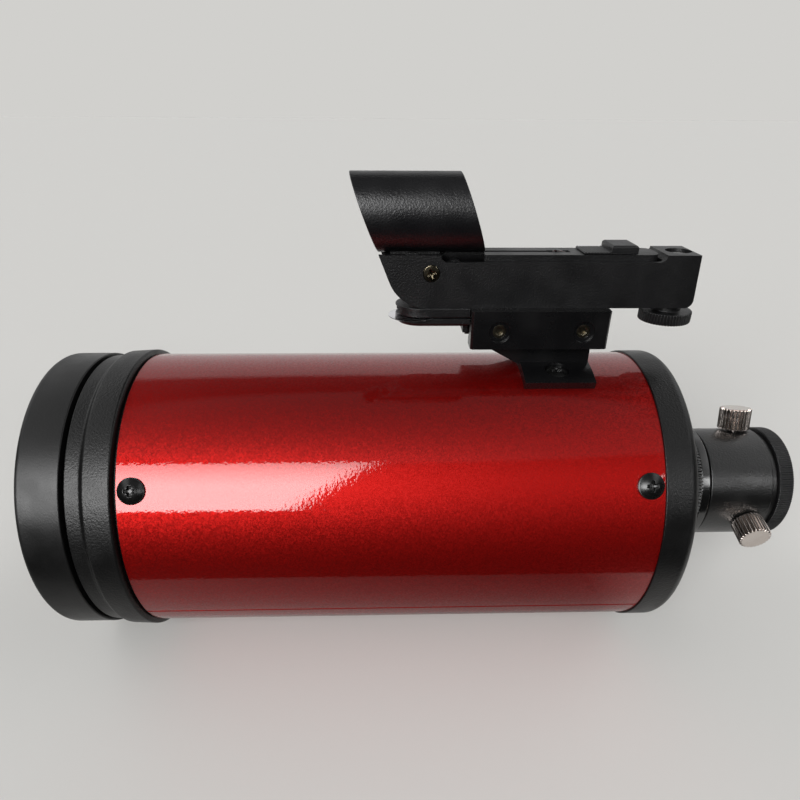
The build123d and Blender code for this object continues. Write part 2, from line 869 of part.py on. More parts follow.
# ================================================================ side bar
bar_neck_half = bar_half_width - bar_dovetail * tan(radians(bar_taper))
saddle_low = tube_radius - bar_saddle_depth
with BuildPart() as side_bar:
    with BuildSketch(Plane.YZ.offset(-bar_length / 2)):
        with BuildLine():
            Polyline(
                (bar_face, -bar_half_width),
                (bar_face, bar_half_width),
                (bar_face - bar_dovetail, bar_neck_half),
                (saddle_low, bar_neck_half),
                (saddle_low, -bar_neck_half),
                (bar_face - bar_dovetail, -bar_neck_half),
                close=True,
            )
        make_face()
        Circle(tube_radius, mode=Mode.SUBTRACT)
        with Locations((tube_radius, 0)):
            Rectangle(2 * bar_relief, 2 * bar_relief_half, mode=Mode.SUBTRACT)
    extrude(amount=bar_length)
    with Locations(radial_plane(0, -90, bar_face)):
        Hole(tripod_radius, depth=tripod_depth)
    for side in (-1, 1):
        with Locations(radial_plane(side * bar_screw_spacing / 2, -90, bar_face)):
            CounterBoreHole(bar_screw_radius, bar_screw_head_radius + easy, bar_counterbore,
                            depth=bar_face - tube_radius + 2)
side_bar.part.label = "side_bar"
export_step(side_bar.part, "parts/side_bar.step")

bar_seat = bar_face - bar_counterbore
nut_seat = sqrt(tube_bore**2 - nut_corner**2)
bar_screw = cross_screw(
    bar_screw_head_radius,
    bar_screw_head_height,
    bar_screw_radius,
    bar_seat - nut_seat + nut_height + nut_end,
)
bar_nut = hex_nut(bar_nut_half_width, nut_height, bar_screw_radius)
with BuildPart() as bar_screws:
    for side in (-1, 1):
        with Locations(radial_plane(side * bar_screw_spacing / 2, -90, bar_seat)):
            add(bar_screw)
bar_screws.part.label = "bar_screws"
export_step(bar_screws.part, "parts/bar_screws.step")

with BuildPart() as bar_nuts:
    for side in (-1, 1):
        with Locations(radial_plane(side * bar_screw_spacing / 2, -90, nut_seat)):
            add(bar_nut)
bar_nuts.part.label = "bar_nuts"
export_step(bar_nuts.part, "parts/bar_nuts.step")

# ================================================================ finder foot
foot_top = tube_radius + foot_thickness
riser_rear = foot_front + foot_length
riser_front = foot_front - (clamp_bottom_z - foot_top) / tan(radians(riser_slope))
with BuildPart() as finder_foot:
    with BuildSketch(Plane.YZ.offset(foot_front)):
        Circle(foot_top)
        Circle(tube_radius, mode=Mode.SUBTRACT)
        with BuildLine():
            far = 2 * tube_radius
            half = radians(foot_half_angle)
            Polyline(
                (0, 0),
                (far * sin(half), far * cos(half)),
                (-far * sin(half), far * cos(half)),
                close=True,
            )
        make_face(mode=Mode.INTERSECT)
    extrude(amount=foot_length)
    with BuildSketch(Plane.XZ):
        with BuildLine():
            Polyline(
                (riser_front, clamp_bottom_z),
                (foot_front, foot_top - foot_edge),
                (foot_front + 1, foot_top - riser_sink),
                (riser_rear, foot_top - riser_sink),
                (riser_rear, clamp_bottom_z),
                close=True,
            )
        make_face()
    extrude(amount=riser_half_width, both=True)
    with BuildSketch(Plane.YZ.offset(riser_front)):
        with BuildLine():
            head = clamp_bottom_z + rail_neck_height + rail_slope_height
            Polyline(
                (-rail_neck_half, clamp_bottom_z - 0.5),
                (-rail_neck_half, clamp_bottom_z + rail_neck_height),
                (-rail_half_width, head),
                (-rail_half_width, rail_top_z),
                (rail_half_width, rail_top_z),
                (rail_half_width, head),
                (rail_neck_half, clamp_bottom_z + rail_neck_height),
                (rail_neck_half, clamp_bottom_z - 0.5),
                close=True,
            )
        make_face()
    extrude(amount=riser_rear - riser_front)
    with BuildSketch(Plane.YZ.offset(riser_front - 1)):
        Circle(tube_radius)
    extrude(amount=riser_rear - riser_front + 2, mode=Mode.SUBTRACT)
    for angle in (-foot_screw_angle, foot_screw_angle):
        with Locations(radial_plane(foot_mid, angle, foot_top + 0.2)):
            CounterBoreHole(small_screw_radius, foot_recess_radius, foot_recess + 0.2,
                            depth=foot_thickness + 1)
finder_foot.part.label = "finder_foot"
export_step(finder_foot.part, "parts/finder_foot.step")

foot_screw_seat = foot_top - foot_recess
foot_screw = cross_screw(
    foot_screw_head_radius,
    foot_screw_head_height,
    small_screw_radius,
    foot_screw_seat - nut_seat + nut_height + nut_end,
)
foot_nut = hex_nut(nut_half_width, nut_height, small_screw_radius)
with BuildPart() as foot_screws:
    for angle in (-foot_screw_angle, foot_screw_angle):
        with Locations(radial_plane(foot_mid, angle, foot_screw_seat)):
            add(foot_screw)
foot_screws.part.label = "foot_screws"
export_step(foot_screws.part, "parts/foot_screws.step")

with BuildPart() as foot_nuts:
    for angle in (-foot_screw_angle, foot_screw_angle):
        with Locations(radial_plane(foot_mid, angle, nut_seat)):
            add(foot_nut)
foot_nuts.part.label = "foot_nuts"
export_step(foot_nuts.part, "parts/foot_nuts.step")

# ================================================================ finder clamp
clamp_rear = clamp_front + clamp_length
clamp_screw_z = clamp_bottom_z + clamp_screw_height
clamp_screw_places = (clamp_front + clamp_screw_inset, clamp_rear - clamp_screw_rear_inset)
channel_screw_places = (clamp_front + channel_screw_inset, clamp_rear - channel_screw_inset)
with BuildPart() as finder_clamp:
    with BuildSketch(Plane.YZ.offset(clamp_front)):
        with Locations((0, clamp_bottom_z + clamp_height / 2)):
            Rectangle(2 * clamp_half_width, clamp_height)
        with BuildLine():
            grown_neck = rail_neck_half + rail_gap
            grown_head = rail_half_width + rail_gap
            Polyline(
                (-grown_neck, clamp_bottom_z - 1),
                (-grown_neck, clamp_bottom_z + rail_neck_height - rail_gap),
                (-grown_head, head - rail_gap),
                (-grown_head, rail_top_z + rail_gap),
                (grown_head, rail_top_z + rail_gap),
                (grown_head, head - rail_gap),
                (grown_neck, clamp_bottom_z + rail_neck_height - rail_gap),
                (grown_neck, clamp_bottom_z - 1),
                close=True,
            )
        make_face(mode=Mode.SUBTRACT)
    extrude(amount=clamp_length)
    clamp_sides = finder_clamp.edges().filter_by(Axis.Z).group_by(Axis.Y)
    chamfer(clamp_sides[0] + clamp_sides[-1], clamp_chamfer)
    for x in clamp_screw_places:
        near_face = Plane(origin=(x, -clamp_half_width, clamp_screw_z), x_dir=(1, 0, 0),
                          z_dir=(0, -1, 0))
        with Locations(near_face):
            CounterBoreHole(clamp_screw_radius, clamp_recess_radius, clamp_recess,
                            depth=clamp_half_width - rail_half_width)
    with BuildSketch(Plane.XY.offset(channel_floor_z)):
        with Locations(*[(x, 0) for x in channel_screw_places]):
            Circle(channel_screw_radius)
    extrude(amount=-channel_screw_reach, mode=Mode.SUBTRACT)
finder_clamp.part.label = "finder_clamp"
export_step(finder_clamp.part, "parts/finder_clamp.step")

with BuildPart() as clamp_screws:
    for x in clamp_screw_places:
        screw_face = -clamp_half_width + clamp_recess + clamp_screw_sink
        outer_end = Plane(origin=(x, screw_face, clamp_screw_z), x_dir=(1, 0, 0), z_dir=(0, -1, 0))
        with BuildSketch(outer_end):
            Circle(clamp_screw_radius)
        extrude(amount=-(-rail_half_width - screw_face))
        with BuildSketch(outer_end):
            RegularPolygon(hex_flats / 2, 6, major_radius=False)
        extrude(amount=-hex_depth, mode=Mode.SUBTRACT)
clamp_screws.part.label = "clamp_screws"
export_step(clamp_screws.part, "parts/clamp_screws.step")

# ================================================================ finder channel
low_wall_z = channel_top_z - channel_drop
tongue_low = tongue_z - tongue_thickness / 2 - tilt_room
tongue_high = tongue_z + tongue_thickness / 2 + tilt_room
with BuildPart() as sight_channel:
    with BuildSketch(Plane.XZ):
        with BuildLine():
            Polyline(
                (channel_front + nose_curve_run, channel_floor_z),
                (channel_rear - channel_corner, channel_floor_z),
            )
            ThreePointArc(
                (channel_rear - channel_corner, channel_floor_z),
                (channel_rear + channel_lean - corner_mid, channel_floor_z + corner_mid),
                (channel_rear + channel_lean, channel_floor_z + channel_corner),
            )
            Polyline(
                (channel_rear + channel_lean, channel_floor_z + channel_corner),
                (channel_rear, channel_top_z),
                (block_front, channel_top_z),
            )
            ThreePointArc(
                (block_front, channel_top_z),
                (block_front - block_run * 0.25, channel_top_z - channel_drop * 0.72),
                (block_front - block_run, low_wall_z),
            )
            Line((block_front - block_run, low_wall_z), (notch_front + notch_run, low_wall_z))
            ThreePointArc(
                (notch_front + notch_run, low_wall_z),
                (notch_front + notch_run * 0.35, low_wall_z + channel_drop * 0.32),
                (notch_front, channel_top_z),
            )
            Polyline(
                (notch_front, channel_top_z),
                (channel_front, channel_top_z),
                (channel_front + nose_face_run, nose_z),
            )
            ThreePointArc(
                (channel_front + nose_face_run, nose_z),
                (channel_front + nose_curve_mid_run, channel_floor_z + nose_curve_mid_height),
                (channel_front + nose_curve_run, channel_floor_z),
            )
        make_face()
    extrude(amount=channel_half_width, both=True)
    with BuildSketch(Plane.XY.offset(channel_floor_z - 1)):
        with BuildLine():
            Polyline(
                (channel_rear + channel_lean, channel_half_width),
                (channel_front - 1, channel_half_width),
                (channel_front - 1, -channel_half_width),
                (channel_rear + channel_lean, -channel_half_width),
            )
            ThreePointArc(
                (channel_rear + channel_lean, -channel_half_width),
                (channel_rear + channel_lean + block_bulge, 0),
                (channel_rear + channel_lean, channel_half_width),
            )
        make_face()
    extrude(amount=channel_height + 2, mode=Mode.INTERSECT)
    with BuildSketch(Plane.XY.offset(channel_floor_z + channel_floor)):
        inside_rear = body_rear + body_room
        with Locations(((channel_front - 1 + inside_rear) / 2, 0)):
            Rectangle(inside_rear - channel_front + 1, 2 * (channel_half_width - channel_wall))
    extrude(amount=channel_height, mode=Mode.SUBTRACT)
    with BuildSketch(Plane.XZ):
        with Locations(((inside_rear - 1 + tongue_end + 0.5) / 2, (tongue_low + tongue_high) / 2)):
            Rectangle(tongue_end + 1.5 - inside_rear, tongue_high - tongue_low)
    extrude(amount=tongue_half_width + free_gap, both=True, mode=Mode.SUBTRACT)
    with Locations(Plane.XY.offset(channel_top_z)):
        with Locations((knob_x, 0)):
            CounterBoreHole(adjust_radius + running, top_recess_radius, top_recess)
    with BuildSketch(Plane.XY.offset(channel_floor_z - 1)):
        with Locations(*[(x, 0) for x in channel_screw_places]):
            Circle(channel_screw_radius)
    extrude(amount=channel_floor + 2, mode=Mode.SUBTRACT)
    for side in (-1, 1):
        pivot_plane = Plane(origin=(pivot_x, side * channel_half_width, pivot_z),
                            x_dir=(1, 0, 0), z_dir=(0, side, 0))
        with Locations(pivot_plane):
            CounterBoreHole(pivot_radius, pivot_recess_radius, pivot_recess, depth=channel_wall + 1)
sight_channel.part.label = "sight_channel"
export_step(sight_channel.part, "parts/sight_channel.step")

pivot_screw = cross_screw(pivot_head_radius, pivot_head_height, pivot_radius, pivot_length)
with BuildPart() as pivot_screws:
    for side in (-1, 1):
        pivot_seat = Plane(
            origin=(pivot_x, side * (channel_half_width - pivot_recess), pivot_z),
            x_dir=(1, 0, 0),
            z_dir=(0, side, 0),
        )
        with Locations(pivot_seat):
            add(pivot_screw)
pivot_screws.part.label = "pivot_screws"
export_step(pivot_screws.part, "parts/pivot_screws.step")

# ================================================================ sight body and hood
well_floor_z = body_top_z - well_depth
with BuildPart() as sight_body:
    with BuildSketch(Plane.XZ):
        with BuildLine():
            Polyline(
                (body_front, body_top_z),
                (body_front + nose_face_run, nose_z),
                (body_front + body_nose_run, body_bottom_z),
                (front_block_rear, body_bottom_z),
                (front_block_rear, body_top_z),
                close=True,
            )
        make_face()
    extrude(amount=body_half_width, both=True)
    with BuildSketch(Plane.XY.offset(body_top_z - deck_thickness)):
        with Locations(((deck_front + body_rear) / 2, 0)):
            Rectangle(body_rear - deck_front, 2 * body_half_width)
    extrude(amount=deck_thickness)
    fillet(sight_body.edges().filter_by(Axis.Z).group_by(Axis.X)[-1], body_corner)
    with BuildSketch(Plane.XZ):
        with BuildLine():
            Polyline(
                (front_block_rear - 1, body_bottom_z),
                (front_block_rear - 1, well_floor_z),
                (deck_front + deck_thickness, well_floor_z),
                (deck_front + deck_thickness, body_top_z - deck_thickness),
                (body_rear - body_corner, body_top_z - deck_thickness),
                (body_rear - body_corner, body_bottom_z),
                close=True,
            )
        make_face()
        with Locations((lump_x, well_floor_z + lump_height - lump_radius)):
            Circle(lump_radius)
    extrude(amount=core_half_width, both=True)
    with BuildSketch(Plane.XZ):
        with Locations(((body_rear - body_corner - 1 + tongue_end) / 2, tongue_z)):
            Rectangle(tongue_end - body_rear + body_corner + 1, tongue_thickness)
    extrude(amount=tongue_half_width, both=True)
    with BuildSketch(Plane.XY.offset(body_top_z)):
        with Locations((saddle_front + saddle_length / 2, 0)):
            Rectangle(saddle_length, 2 * saddle_half_width)
    extrude(amount=saddle_rise)
    for side in (-1, 1):
        with BuildSketch(Plane.XY.offset(body_top_z)):
            with Locations((tab_front + tab_length / 2, side * (body_half_width - tab_width / 2))):
                Rectangle(tab_length, tab_width)
        extrude(amount=tab_rise)
    with BuildSketch(Plane.YZ.offset(body_front - 1)):
        with Locations((0, hood_z)):
            Circle(hood_radius)
    extrude(amount=front_block_rear - body_front + 2, mode=Mode.SUBTRACT)
    with Locations(Plane.XY.offset(body_top_z)):
        with Locations((knob_x, 0)):
            Hole(tongue_hole_radius)
    with BuildSketch(Plane.XY.offset(body_top_z)):
        groove_rear = slider_rear - slider_block_length - slider_grip_length - slider_travel
        with Locations(((deck_front + groove_rear) / 2, 0)):
            Rectangle(groove_rear - deck_front, 2 * light_groove_half)
    extrude(amount=-light_groove_depth, mode=Mode.SUBTRACT)
    with BuildSketch(Plane.XY.offset(body_top_z)):
        with Locations((led_x, 0)):
            Rectangle(led_pocket_length, 2 * (led_radius + easy))
    extrude(amount=-led_pocket_depth, mode=Mode.SUBTRACT)
    with BuildSketch(Plane.XY.offset(body_top_z)):
        stem_rear = slider_rear - slider_block_length + slider_stem_length / 2 + easy
        slot_front = stem_rear - slider_stem_length - slider_travel - 2 * easy
        with Locations(((slot_front + stem_rear) / 2, 0)):
            Rectangle(stem_rear - slot_front, 2 * slot_half_width)
    extrude(amount=-(slider_stem_depth + easy), mode=Mode.SUBTRACT)
    for side in (-1, 1):
        pivot_plane = Plane(origin=(pivot_x, side * body_half_width, pivot_z),
                            x_dir=(1, 0, 0), z_dir=(0, side, 0))
        with Locations(pivot_plane):
            Hole(pivot_radius + running, depth=pivot_length)
sight_body.part.label = "sight_body"
export_step(sight_body.part, "parts/sight_body.step")

hood_lean = Vector(cos(radians(hood_rake)), 0, sin(radians(hood_rake)))
hood_front_cut = Plane(origin=(hood_center_x - hood_length / 2, 0, hood_z), z_dir=hood_lean)
hood_rear_cut = Plane(origin=(hood_center_x + hood_length / 2, 0, hood_z), z_dir=hood_lean)
with BuildPart() as sight_hood:
    with BuildSketch(Plane.YZ.offset(hood_center_x)):
        with Locations((0, hood_z)):
            Circle(hood_radius)
            Circle(hood_radius - hood_wall, mode=Mode.SUBTRACT)
    extrude(amount=hood_length, both=True)
    split(bisect_by=hood_front_cut, keep=Keep.TOP)
    split(bisect_by=hood_rear_cut, keep=Keep.BOTTOM)
sight_hood.part.label = "sight_hood"
export_step(sight_hood.part, "parts/sight_hood.step")

with BuildPart() as reflector_lens:
    lens_face = Plane(
        origin=(sight_lens_x, 0, hood_z),
        x_dir=(0, 1, 0),
        z_dir=(cos(radians(sight_lens_tilt)), 0, sin(radians(sight_lens_tilt))),
    )
    with BuildSketch(lens_face):
        Circle(hood_radius - hood_wall - sight_lens_gap)
    extrude(amount=sight_lens_thickness)
reflector_lens.part.label = "reflector_lens"
export_step(reflector_lens.part, "parts/reflector_lens.step")

with BuildPart() as led:
    led_aim = Vector(-cos(radians(led_tilt)), 0, sin(radians(led_tilt)))
    led_drop = led_radius * cos(radians(led_tilt)) + led_length / 2 * sin(radians(led_tilt))
    led_middle = Vector(led_x, 0, body_top_z - led_pocket_depth + led_drop)
    led_back = Plane(
        origin=led_middle - led_aim * (led_length / 2),
        x_dir=(0, 1, 0),
        z_dir=led_aim,
    )
    with BuildSketch(led_back):
        Circle(led_radius)
    extrude(amount=led_length)
    fillet(led.edges().filter_by(GeomType.CIRCLE).sort_by(Axis(led_back.origin, led_aim))[-1],
           led_radius * 0.8)
led.part.label = "led"
export_step(led.part, "parts/led.step")

with BuildPart() as power_slider:
    block_x = slider_rear - slider_block_length / 2
    grip_x = slider_rear - slider_block_length - slider_grip_length / 2
    with BuildSketch(Plane.XY.offset(body_top_z + slider_gap)):
        with Locations((block_x, 0)):
            Rectangle(slider_block_length, 2 * slider_half_width)
    extrude(amount=slider_height)
    chamfer(power_slider.faces().sort_by(Axis.Z)[-1].edges(), slider_chamfer)
    with BuildSketch(Plane.XZ):
        with BuildLine():
            low = body_top_z + slider_gap
            pitch = slider_grip_length / slider_tooth_count
            grip_front = grip_x - slider_grip_length / 2
            points = [(grip_front, low)]
            for i in range(slider_tooth_count):
                points.append((grip_front + i * pitch, low + slider_grip_height * 0.6))
                points.append((grip_front + (i + 0.5) * pitch, low + slider_grip_height))
            points.append((grip_front + slider_grip_length, low + slider_grip_height))
            points.append((grip_front + slider_grip_length, low))
            Polyline(*points, close=True)
        make_face()
    extrude(amount=slider_grip_half_width, both=True)
    with BuildSketch(Plane.XY.offset(body_top_z + slider_gap)):
        with Locations((slider_rear - slider_block_length, 0)):
            Rectangle(slider_stem_length, 2 * (slot_half_width - easy))
    extrude(amount=-slider_stem_depth)
power_slider.part.label = "power_slider"
export_step(power_slider.part, "parts/power_slider.step")

# ================================================================ elevation screw
knob_top_z = knob_bottom_z + knob_height
recess_floor_z = channel_top_z - top_recess
with BuildPart() as elevation_knob:
    with BuildSketch(Plane.XY.offset(knob_bottom_z)):
        with Locations((knob_x, 0)):
            knurl_outline(knob_radius, knob_knurl_depth, knob_knurl_count)
    extrude(amount=knob_height)
    with BuildSketch(Plane.XY.offset(knob_top_z)):
        with Locations((knob_x, 0)):
            Circle(knob_hub_radius)
    extrude(amount=channel_floor_z - face_gap - knob_top_z)
    with Locations(Plane.XY.offset(channel_floor_z)):
        with Locations((knob_x, 0)):
            Hole(adjust_radius)
elevation_knob.part.label = "elevation_knob"
export_step(elevation_knob.part, "parts/elevation_knob.step")

with BuildPart() as elevation_screw:
    with BuildSketch(Plane.XY.offset(knob_bottom_z)):
        with Locations((knob_x, 0)):
            Circle(adjust_radius)
    extrude(amount=recess_floor_z + adjust_end - knob_bottom_z)
elevation_screw.part.label = "elevation_screw"
export_step(elevation_screw.part, "parts/elevation_screw.step")

with BuildPart() as screw_clip:
    with BuildSketch(Plane.XY.offset(recess_floor_z + face_gap)):
        with Locations((knob_x, 0)):
            Circle(clip_radius)
            Circle(adjust_radius, mode=Mode.SUBTRACT)
            with PolarLocations(clip_radius, 3):
                Circle(clip_notch_radius, mode=Mode.SUBTRACT)
    extrude(amount=clip_thickness)
screw_clip.part.label = "screw_clip"
export_step(screw_clip.part, "parts/screw_clip.step")

with BuildPart() as channel_screws:
    screw_seat_z = channel_floor_z + channel_floor
    with BuildSketch(Plane.XY.offset(screw_seat_z)):
        with Locations(*[(x, 0) for x in channel_screw_places]):
            Circle(channel_screw_radius)
    extrude(amount=-(channel_floor + channel_screw_reach))
    with BuildSketch(Plane.XY.offset(screw_seat_z)):
        with Locations(*[(x, 0) for x in channel_screw_places]):
            Circle(channel_screw_head_radius)
    extrude(amount=channel_screw_head_height)
channel_screws.part.label = "channel_screws"
export_step(channel_screws.part, "parts/channel_screws.step")

# ================================================================ battery pod
housing_bottom_z = pod_split_z + film_room / 2
tray_top_z = pod_split_z - film_room / 2
with BuildPart() as battery_housing:
    with BuildSketch(Plane.XY.offset(housing_bottom_z)):
        pod_outline()
    extrude(amount=channel_floor_z - housing_bottom_z)
    with BuildSketch(Plane.YZ.offset(0)):
        neck_top = tray_top_z + rib_neck_height
        with Locations((0, (housing_bottom_z + neck_top) / 2)):
            Rectangle(2 * (rib_neck_half + easy), neck_top - housing_bottom_z + 0.5)
        with Locations((0, neck_top + rib_head_height / 2)):
            Rectangle(2 * (rib_head_half + easy), rib_head_height + 2 * easy)
    extrude(amount=pod_rear + 1, mode=Mode.SUBTRACT)
battery_housing.part.label = "battery_housing"
export_step(battery_housing.part, "parts/battery_housing.step")

with BuildPart() as battery_tray:
    with BuildSketch(Plane.XY.offset(pod_bottom_z)):
        pod_outline()
    extrude(amount=tray_top_z - pod_bottom_z)
    chamfer(battery_tray.faces().sort_by(Axis.Z)[0].edges(), tray_edge)
    with BuildSketch(Plane.XY.offset(tray_top_z)):
        with Locations((pod_center_x, 0)):
            Circle(cell_battery_radius + face_gap)
    extrude(amount=-(cell_battery_height + tray_floor_gap), mode=Mode.SUBTRACT)
    with BuildSketch(Plane.YZ.offset(rib_front)):
        neck_top = tray_top_z + rib_neck_height
        with Locations((0, (tray_top_z + neck_top) / 2)):
            Rectangle(2 * rib_neck_half, neck_top - tray_top_z)
        with Locations((0, neck_top + rib_head_height / 2)):
            Rectangle(2 * rib_head_half, rib_head_height)
    extrude(amount=pod_rear - rib_front)
    with BuildSketch(Plane.YZ.offset(pod_rear - pull_tab_thickness)):
        with Locations((0, pod_bottom_z - (pull_tab_drop - tray_edge) / 2)):
            Rectangle(2 * pull_tab_half_width, pull_tab_drop + tray_edge)
    extrude(amount=pull_tab_thickness)
battery_tray.part.label = "battery_tray"
export_step(battery_tray.part, "parts/battery_tray.step")

with BuildPart() as battery_cell:
    with BuildSketch(Plane.XY.offset(tray_top_z - cell_battery_height - tray_floor_gap / 2)):
        with Locations((pod_center_x, 0)):
            Circle(cell_battery_radius)
    extrude(amount=cell_battery_height)
battery_cell.part.label = "battery_cell"
export_step(battery_cell.part, "parts/battery_cell.step")

with BuildPart() as battery_film:
    with BuildSketch(Plane.XY.offset(pod_split_z - film_thickness / 2)):
        with Locations((film_x, 0)):
            Circle(film_radius)
    extrude(amount=film_thickness)
battery_film.part.label = "battery_film"
export_step(battery_film.part, "parts/battery_film.step")
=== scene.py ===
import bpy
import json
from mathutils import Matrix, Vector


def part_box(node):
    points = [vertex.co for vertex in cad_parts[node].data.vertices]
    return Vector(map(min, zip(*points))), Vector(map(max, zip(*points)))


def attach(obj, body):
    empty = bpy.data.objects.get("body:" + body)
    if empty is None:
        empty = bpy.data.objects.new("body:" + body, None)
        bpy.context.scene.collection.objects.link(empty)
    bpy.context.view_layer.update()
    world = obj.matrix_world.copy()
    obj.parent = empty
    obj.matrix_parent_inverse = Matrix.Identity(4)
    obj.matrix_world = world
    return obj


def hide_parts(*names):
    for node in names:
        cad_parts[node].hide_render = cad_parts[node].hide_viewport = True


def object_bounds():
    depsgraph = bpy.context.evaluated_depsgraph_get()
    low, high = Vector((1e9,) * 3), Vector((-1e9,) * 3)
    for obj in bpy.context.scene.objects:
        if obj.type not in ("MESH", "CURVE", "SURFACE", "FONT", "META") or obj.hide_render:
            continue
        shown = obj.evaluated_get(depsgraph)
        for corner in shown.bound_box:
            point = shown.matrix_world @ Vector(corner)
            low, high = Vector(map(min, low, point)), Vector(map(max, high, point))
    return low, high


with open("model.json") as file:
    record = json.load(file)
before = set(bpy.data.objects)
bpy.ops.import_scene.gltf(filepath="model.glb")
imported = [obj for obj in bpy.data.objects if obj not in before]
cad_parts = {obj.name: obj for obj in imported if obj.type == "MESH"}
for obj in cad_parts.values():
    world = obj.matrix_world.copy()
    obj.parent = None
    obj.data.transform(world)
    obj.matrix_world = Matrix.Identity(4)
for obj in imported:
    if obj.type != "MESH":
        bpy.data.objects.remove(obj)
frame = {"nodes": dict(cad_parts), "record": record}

"""Looks of a short mirror-lens telescope tube with a reflex sight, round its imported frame.

The optical axis is X, with the sky towards -X and the eyepiece towards +X, and +Z points to the
sight. Sizes in this file are millimetres, and the meshes are written in metres.
"""
import json
import logging
from collections.abc import Callable, Sequence
from dataclasses import dataclass
from enum import Enum

import bmesh
import bpy
import numpy as np
from mathutils import Matrix, Vector

log = logging.getLogger("telescope")
cad_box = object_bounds()

MM = 0.001
FULL_TURN = 2 * np.pi
Relief = Callable[[np.ndarray, np.ndarray], np.ndarray]
Socket = bpy.types.NodeSocket


class Body(str, Enum):
    """Rigid bodies of the frame that pieces ride on."""

    TUBE = "tube_assembly"
    CAP = "front_cap"
    PLUG = "bore_plug"
    FOCUS = "focus_drive"
    TOP_THUMB = "top_thumb"
    SIDE_THUMB = "side_thumb"
    SIGHT = "sight"
    SWITCH = "switch"
    ADJUSTER = "height_adjuster"
    DRAWER = "battery_drawer"
    FILM = "pull_film"


# ---- shapes
def reach(node: str) -> tuple[np.ndarray, np.ndarray]:
    """Lowest and highest corner of a frame node, in millimetres."""
    low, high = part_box(node)
    return np.array(low) / MM, np.array(high) / MM


def rounded(points: Sequence[tuple[float, float]], radius: float | Sequence[float],
            steps: int = 5, closed: bool = True) -> np.ndarray:
    """Outline whose corners are replaced by small curves.

    Each corner P becomes the quadratic curve (1-s)^2 A + 2s(1-s) P + s^2 B, where A and B lie on
    the two sides at the corner's radius, or at 0.45 of the shorter side where that is less.

    Args:
        points: Corners in order.
        radius: One reach for all corners, or one for each.
        steps: Points along each curve.
        closed: Whether the last corner joins the first; an open outline keeps its two ends.

    Returns:
        The rounded outline, one row for each point.
    """
    corner = np.asarray(points, float)
    before, after = np.roll(corner, 1, 0), np.roll(corner, -1, 0)
    to_before, to_after = before - corner, after - corner
    length_before = np.linalg.norm(to_before, axis=1, keepdims=True)
    length_after = np.linalg.norm(to_after, axis=1, keepdims=True)
    wanted = np.broadcast_to(np.asarray(radius, float), len(corner))[:, None]
    size = np.minimum(wanted, 0.45 * np.minimum(length_before, length_after))
    start = corner + to_before / length_before * size
    end = corner + to_after / length_after * size
    s = np.linspace(0, 1, steps)[None, :, None]
    curve = (1 - s) ** 2 * start[:, None] + 2 * s * (1 - s) * corner[:, None] + s**2 * end[:, None]
    if closed:
        return curve.reshape(-1, 2)
    return np.vstack((corner[:1], curve[1:-1].reshape(-1, 2), corner[-1:]))


@dataclass(frozen=True)
class Place:
    """Where a turned piece stands: a point on its axis, its axis, and where angle 0 points."""

    origin: tuple[float, float, float] = (0.0, 0.0, 0.0)
    along: tuple[float, float, float] = (1.0, 0.0, 0.0)
    zero: tuple[float, float, float] = (0.0, 0.0, 1.0)

    def directions(self) -> tuple[np.ndarray, np.ndarray, np.ndarray]:
        """Unit vectors along the axis, towards angle 0 and a quarter turn on."""
        along = np.array(self.along, float)
        along /= np.linalg.norm(along)
        zero = np.array(self.zero, float)
        zero -= along * (zero @ along)
        zero /= np.linalg.norm(zero)
        return along, zero, np.cross(zero, along) * -1.0


def radial(x: float, angle: float, radius: float = 0.0) -> Place:
    """Place that points outwards from the optical axis, at an angle from +Z towards -Y."""
    a = np.radians(angle)
    out = (0.0, -np.sin(a), np.cos(a))
    return Place((x, out[1] * radius, out[2] * radius), out, (1.0, 0.0, 0.0))


def turned(profile: np.ndarray, angles: np.ndarray, place: Place = Place(),
           relief: Relief | None = None, sink: Relief | None = None) -> np.ndarray:
    """Surface of revolution on a grid of profile point by angle.

    The point at height h, radius r and angle t is origin + h A + r (cos t U + sin t V). Relief
    takes a depth off r as a function of (h, t), and sink takes a depth off h as a function of
    (r, t).

    Args:
        profile: Rows of (h, r).
        angles: Angles in radians, from 0 to less than a full turn.
        place: Axis of the piece.
        relief: Radial depth.
        sink: Depth along the axis.

    Returns:
        Points with the shape (profile, angles, 3).
    """
    along, zero, quarter = place.directions()
    h = np.repeat(profile[:, :1], len(angles), axis=1)
    r = np.repeat(profile[:, 1:], len(angles), axis=1)
    t = np.repeat(angles[None, :], len(profile), axis=0)
    depth = relief(h, t) if relief else 0.0
    drop = sink(r, t) if sink else 0.0
    r, h = r - depth, h - drop
    return (np.array(place.origin) + h[..., None] * along
            + (r * np.cos(t))[..., None] * zero + (r * np.sin(t))[..., None] * quarter)


def on_wall(outline: np.ndarray, outer: float, fade: float = 1.0) -> np.ndarray:
    """Column of 1 on the outer wall of an outline, falling to 0 at fade inside it."""
    return np.clip(1 - (outer - outline[:, 1]) / fade, 0, 1)[:, None]


def grooves(share: np.ndarray, count: int, depth: float, power: float) -> Relief:
    """Relief of straight grooves: the depth at angle t is depth (0.5 - 0.5 cos(count t))^power.

    Args:
        share: Share of the depth at each point of the outline, as a column.
        count: Grooves in a full turn.
        depth: Depth of a groove.
        power: More than 1 narrows the grooves.

    Returns:
        The relief for turned().
    """
    def relief(_: np.ndarray, t: np.ndarray) -> np.ndarray:
        """Depth at each angle, whatever the height."""
        return depth * (0.5 - 0.5 * np.cos(count * t)) ** power * share

    return relief


